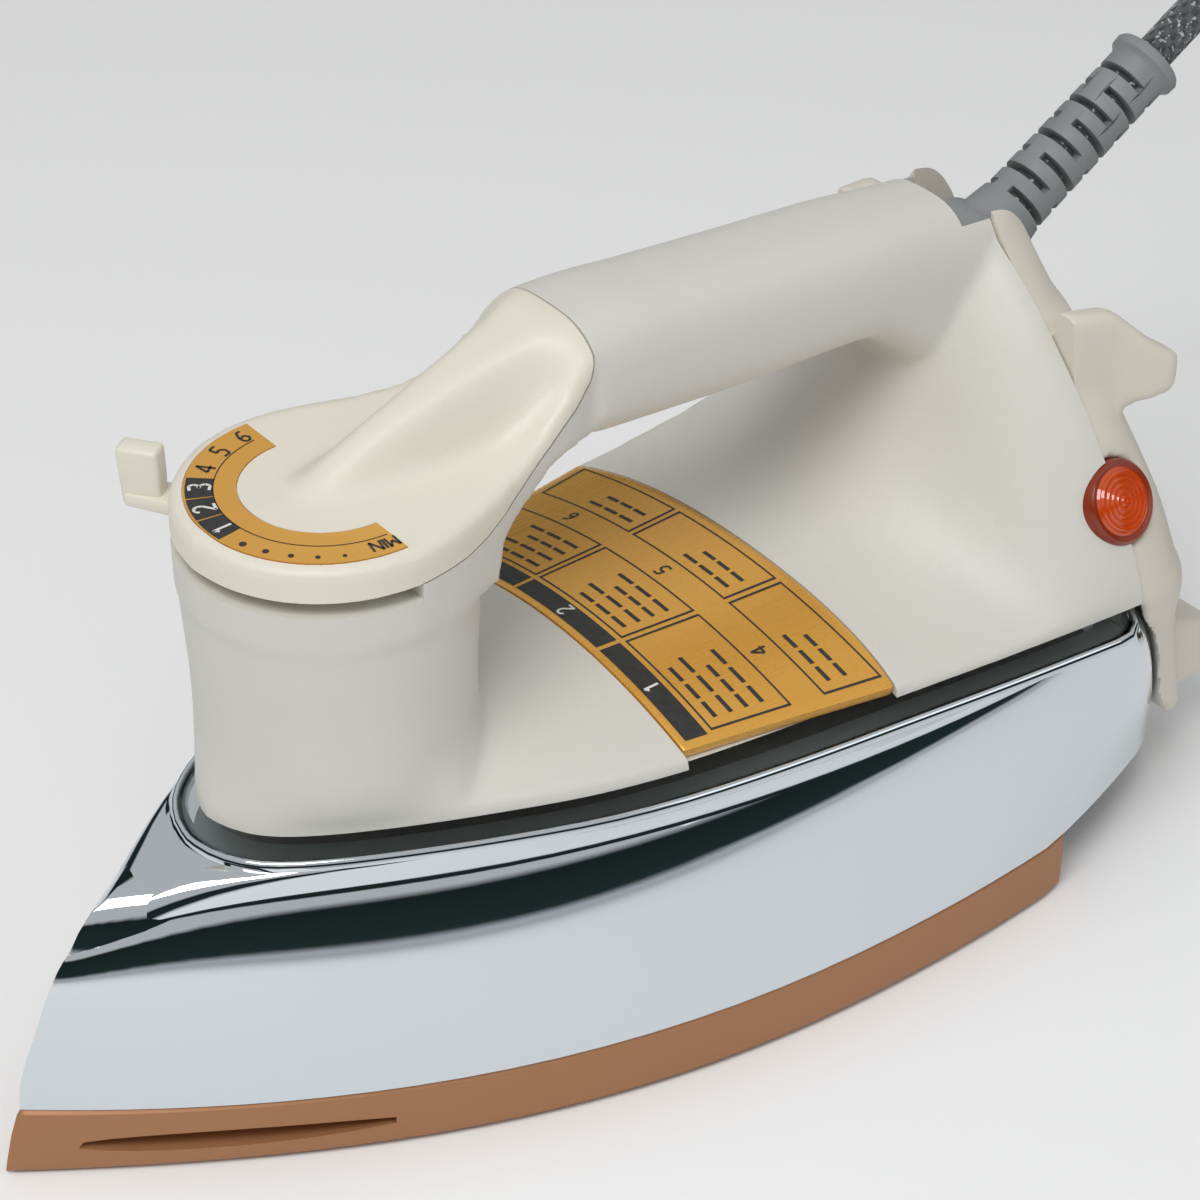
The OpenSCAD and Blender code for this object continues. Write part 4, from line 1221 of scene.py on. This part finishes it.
DIGITS = {
    "1": [[(0.2, 0.75), (0.5, 1), (0.5, 0)]],
    "2": [[(0.1, 0.8), (0.3, 1), (0.7, 1), (0.9, 0.8), (0.85, 0.55), (0.1, 0), (0.95, 0)]],
    "3": [[(0.1, 0.95), (0.7, 1), (0.9, 0.78), (0.75, 0.56), (0.4, 0.53), (0.8, 0.45), (0.92, 0.22), (0.7, 0),
           (0.1, 0.05)]],
    "4": [[(0.75, 0), (0.75, 1), (0.08, 0.3), (1, 0.3)]],
    "5": [[(0.9, 1), (0.25, 1), (0.18, 0.55), (0.65, 0.6), (0.92, 0.35), (0.7, 0), (0.1, 0.05)]],
    "6": [[(0.85, 0.95), (0.45, 0.95), (0.15, 0.5), (0.2, 0.1), (0.6, 0), (0.9, 0.25), (0.65, 0.52), (0.2, 0.42)]],
    "M": [[(0, 0), (0, 1), (0.5, 0.4), (1, 1), (1, 0)]],
    "I": [[(0.5, 0), (0.5, 1)]],
    "N": [[(0, 0), (0, 1), (1, 0), (1, 1)]]}


def figure(sign, centre, up, tall, width):
    """A sign drawn in strokes: centre, direction of its top, height and stroke width."""
    ux, uy = up
    rx, ry = uy, -ux
    quads = []
    for line in DIGITS[sign]:
        points = [(centre[0] + (u - 0.5) * 0.62 * tall * rx + (v - 0.5) * tall * ux,
                   centre[1] + (u - 0.5) * 0.62 * tall * ry + (v - 0.5) * tall * uy) for u, v in line]
        quads += strip(points, width)
    return quads


def on_dial(radius, degrees):
    a = math.radians(degrees)
    return (DIAL_X - radius * math.cos(a), radius * math.sin(a))


def dial_figure(sign, degrees, tall=3.3, width=0.45, radius=19.7):
    a = math.radians(degrees)
    return figure(sign, on_dial(radius, degrees), (-math.cos(a), math.sin(a)), tall, width)


def dial_block(start, end, inner=17.6, outer=22.0):
    steps = 8
    turn = [start + (end - start) * k / steps for k in range(steps + 1)]
    return [[on_dial(inner, a), on_dial(outer, a), on_dial(outer, b), on_dial(inner, b)]
            for a, b in zip(turn, turn[1:])]


def add_scale_print():
    level = lambda x, y: 107.8
    dark = dial_block(26, 42) + dial_block(9, 25) + dial_block(-8, 8)
    dark += strip([on_dial(17.6, 84 - 4 * k) for k in range(44)], 0.18)
    for sign, place in (("6", 82), ("5", 66), ("4", 50)):
        dark += dial_figure(sign, place)
    for k in range(5):
        centre = on_dial(20.6, -18 - 11.5 * k)
        dark.append([(centre[0] + (0.62 - 0.06 * k) * math.cos(math.radians(30 * n)),
                      centre[1] + (0.62 - 0.06 * k) * math.sin(math.radians(30 * n))) for n in range(12)])
    for sign, place in (("M", -87), ("I", -83), ("N", -79)):
        dark += dial_figure(sign, place, 2.6, 0.42)
    printed("scale_print", dark, INK, level)
    pale = []
    for sign, place in (("3", 34), ("2", 16), ("1", -2)):
        pale += dial_figure(sign, place, 3.4, 0.5)
    printed("scale_figures", pale, WHITE_INK, lambda x, y: 107.84)


def add_label_print():
    """Cells, strips and figures of the fabric guide; the words are plain bars."""
    level = lambda x, y: saddle_z(x, y) + 0.15
    across = lambda v, x: v * (label_half(x) - 1.6)
    dark, pale = [], []

    def band(v0, v1, x0, x1, into):
        count = max(1, int(abs(v1 - v0) * 14))
        for k in range(count):
            a, b = v0 + (v1 - v0) * k / count, v0 + (v1 - v0) * (k + 1) / count
            into.append([(x0, across(a, x0)), (x1, across(a, x1)), (x1, across(b, x1)), (x0, across(b, x0))])
    for low, high in ((-1, -0.345), (-0.32, 0.32), (0.345, 1)):
        band(low, high, -9.8, -5.6, dark)
    for v, sign in ((-0.66, "1"), (0.0, "2"), (0.66, "3")):
        pale += figure(sign, (-7.7, across(v, -7.7)), (-1, 0), 2.9, 0.45)
    for row, sign_v in ((-1, "4"), (0, "5"), (1, "6")):
        v0, v1 = row / 1.5 - 0.333, row / 1.5 + 0.333
        for x in (-4.6, 10.4, 17.0, 28.0):
            band(v0 + 0.012, v1 - 0.012, x, x + 0.35, dark)
        for v in (v0 + 0.012, v1 - 0.024):
            band(v, v + 0.012, -4.6, 10.7, dark)
            band(v, v + 0.012, 17.0, 28.3, dark)
        for x, low, high in ((-2.6, -0.26, 0.1), (0.4, -0.26, 0.14), (3.4, -0.26, 0.04), (6.4, -0.26, 0.12),
                             (19.4, -0.26, 0.06), (22.6, -0.26, 0.02)):
            span = (high - low) / 3
            for k in range(3):
                start = row / 1.5 + low + span * k
                band(start, start + span * 0.8, x, x + 0.8, dark)
        dark.extend(figure(sign_v, (13.7, across(row / 1.5, 13.7)), (-1, 0), 3.0, 0.45))
    printed("guide_print", dark, INK, level)
    printed("guide_figures", pale, WHITE_INK, lambda x, y: level(x, y) + 0.04)


add_scale_print()
add_label_print()


def add_lens():
    edge = LENS_R + 0.15
    bezel = as_object("lens_bezel", turned([(LENS_R - 1.3, 0.9), (LENS_R - 0.4, 1.2), (edge, 0.5), (edge, -4),
                                            (LENS_R - 1.3, -4), (LENS_R - 1.3, 0.9)], 64, lens_frame()))
    finish_piece(bezel, LENS_RIM, "iron", ["pilot_lens"], 40)
    profile = [(0, -4), (LENS_R - 1.35, -4), (LENS_R - 1.35, 0.9), (LENS_R - 1.8, 1.3)]
    radius = LENS_R - 2.1
    while radius > 0.8:
        rise = 1.1 + (LENS_R - radius) * 0.07
        profile += [(radius, rise), (radius - 0.3, rise + 0.4), (radius - 0.65, rise + 0.4), (radius - 0.9, rise)]
        radius -= 1.1
    profile += [(0.4, 1.7), (0, 1.7)]
    face = as_object("lens_face", turned(profile, 64, lens_frame()))
    finish_piece(face, LENS, "iron", [], 40)


add_lens()


def add_lever():
    """Flat arm in the slot with an upright tab."""
    turn = Matrix.Translation((DIAL_X * MM, 0, 0)) @ Matrix.Rotation(math.radians(180 - 53), 4, "Z")
    bm = bmesh.new()
    flat = lambda r, half: [(r, -half, 99.3), (r, half, 99.3), (r, half, 101.6), (r, -half, 101.6)]
    loft(bm, [flat(4, 4), flat(20, 4), flat(27, 3.2), flat(33.4, 2.4)])
    bmesh.ops.bevel(bm, geom=bm.edges, offset=0.4 * MM, segments=2, profile=0.5, affect="EDGES", material=-1)
    made = as_object("lever", bm)
    tab = bmesh.new()
    upright = lambda z, inner, outer, half: [(inner, -half, z), (outer, -half, z), (outer, half, z), (inner, half, z)]
    loft(tab, [upright(98.9, 27.4, 33.9, 1.9), upright(104, 27.2, 34.3, 2.0), upright(109.8, 27.4, 34.6, 2.1)])
    bmesh.ops.bevel(tab, geom=tab.edges, offset=0.8 * MM, segments=3, profile=0.5, affect="EDGES", material=-1)
    cut(made, as_object("tab", tab), "UNION")
    made.data.transform(turn)
    bm = bmesh.new()
    bm.from_mesh(made.data)
    discard(made)
    made = as_object("lever", bm)
    finish_piece(made, CAP_CREAM, "temperature_lever", ["temperature_lever"], 35)


add_lever()

# ---- guard, plug and tie --------------------------------------------------------


def guard_frame():
    axis = Vector((math.cos(GUARD_SLOPE), 0, math.sin(GUARD_SLOPE)))
    turn = Matrix((Vector((math.sin(GUARD_SLOPE), 0, -math.cos(GUARD_SLOPE))), Vector((0, 1, 0)), axis)).transposed()
    return Matrix.Translation(GUARD_PIVOT * MM) @ turn.to_4x4()


def add_guard():
    """Ribbed sleeve: rings joined by bridges that swap sides, on a cross drum."""
    profile = [(3.6, -2), (6.6, -2), (7.0, 3), (6.9, 8), (6.3, 12), (6.0, 14), (5.9, 30), (5.8, 46.6), (6.2, 47.2),
               (6.8, 47.8), (6.9, 49.2), (6.6, 49.7), (3.6, 49.7), (3.6, -2)]
    sleeve = as_object("cord_sleeve", turned(profile, 64))
    pitch = 4.25
    for k in range(8):
        z = 12.2 + k * pitch
        for half in (0, 1):
            bm = bmesh.new()
            start = math.radians(half * 180 + (k % 2) * 90 + 17)
            corners = [bm.verts.new((r * math.cos(start) * MM, r * math.sin(start) * MM, h * MM))
                       for r, h in ((3.0, z), (9, z), (9, z + 1.6), (3.0, z + 1.6))]
            bmesh.ops.spin(bm, geom=[bm.faces.new(corners)], cent=(0, 0, 0), axis=(0, 0, 1), steps=28,
                           angle=math.radians(146))
            bmesh.ops.recalc_face_normals(bm, faces=bm.faces)
            cut(sleeve, as_object("slot", bm))
    soft = sleeve.modifiers.new("soft", "BEVEL")
    soft.width = 0.3 * MM
    soft.segments = 2
    soft.limit_method = "ANGLE"
    soft.angle_limit = math.radians(50)
    baked(sleeve)
    drum = as_object("drum", turned([(0, -6.5), (8.3, -6.5), (8.8, -6.0), (8.8, 6.0), (8.3, 6.5), (3.0, 6.5),
                                     (3.0, 9.4), (0, 9.4)], 48, Matrix.Rotation(math.radians(90), 4, "X")))
    bore = as_object("bore", turned([(0, -20), (3.6, -20), (3.6, 20), (0, 20)], 48))
    cut(drum, bore)
    cut(sleeve, drum, "UNION")
    sleeve.data.transform(guard_frame())
    finish_piece(sleeve, RUBBER, "cord_guard", ["cord_guard"], 40)


add_guard()

# ---- carried-over CAD nodes -------------------------------------------------------

FINISHES = {
    "heating_element": FOIL, "element_terminals": BRASS, "insulating_sheet": MICA, "weight_block": IRON,
    "clamp_studs": STEEL, "clamp_nuts": STEEL, "heat_shield": FOIL, "thermostat_base": STEEL,
    "bimetal_blade": FOIL, "fixed_contact_blade": BRASS, "moving_contact_blade": BRASS,
    "contact_insulators": CERAMIC, "thermostat_rivet": STEEL, "screw_bush": BRASS, "control_cam": STEEL,
    "control_shaft": STEEL, "cap_screws": STEEL, "scale_plate": GOLD, "handle_nuts": STEEL,
    "rear_cover_screws": STEEL, "neon_lamp": LAMP, "lamp_resistor": CERAMIC, "terminal_block": CERAMIC,
    "terminal_screws": BRASS, "thermal_fuse": CERAMIC, "live_lead": BROWN_PVC, "neutral_lead": BLUE_PVC,
    "earth_lead": GREEN_PVC, "cord_clamp": DARK, "guard_yoke": RUBBER, "cord_core": BRAID, "coil_tie": DARK,
    "plug_body": DARK, "plug_pins": BRASS}
for name, material in FINISHES.items():
    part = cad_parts[name]
    part.data.materials.clear()
    part.data.materials.append(material)
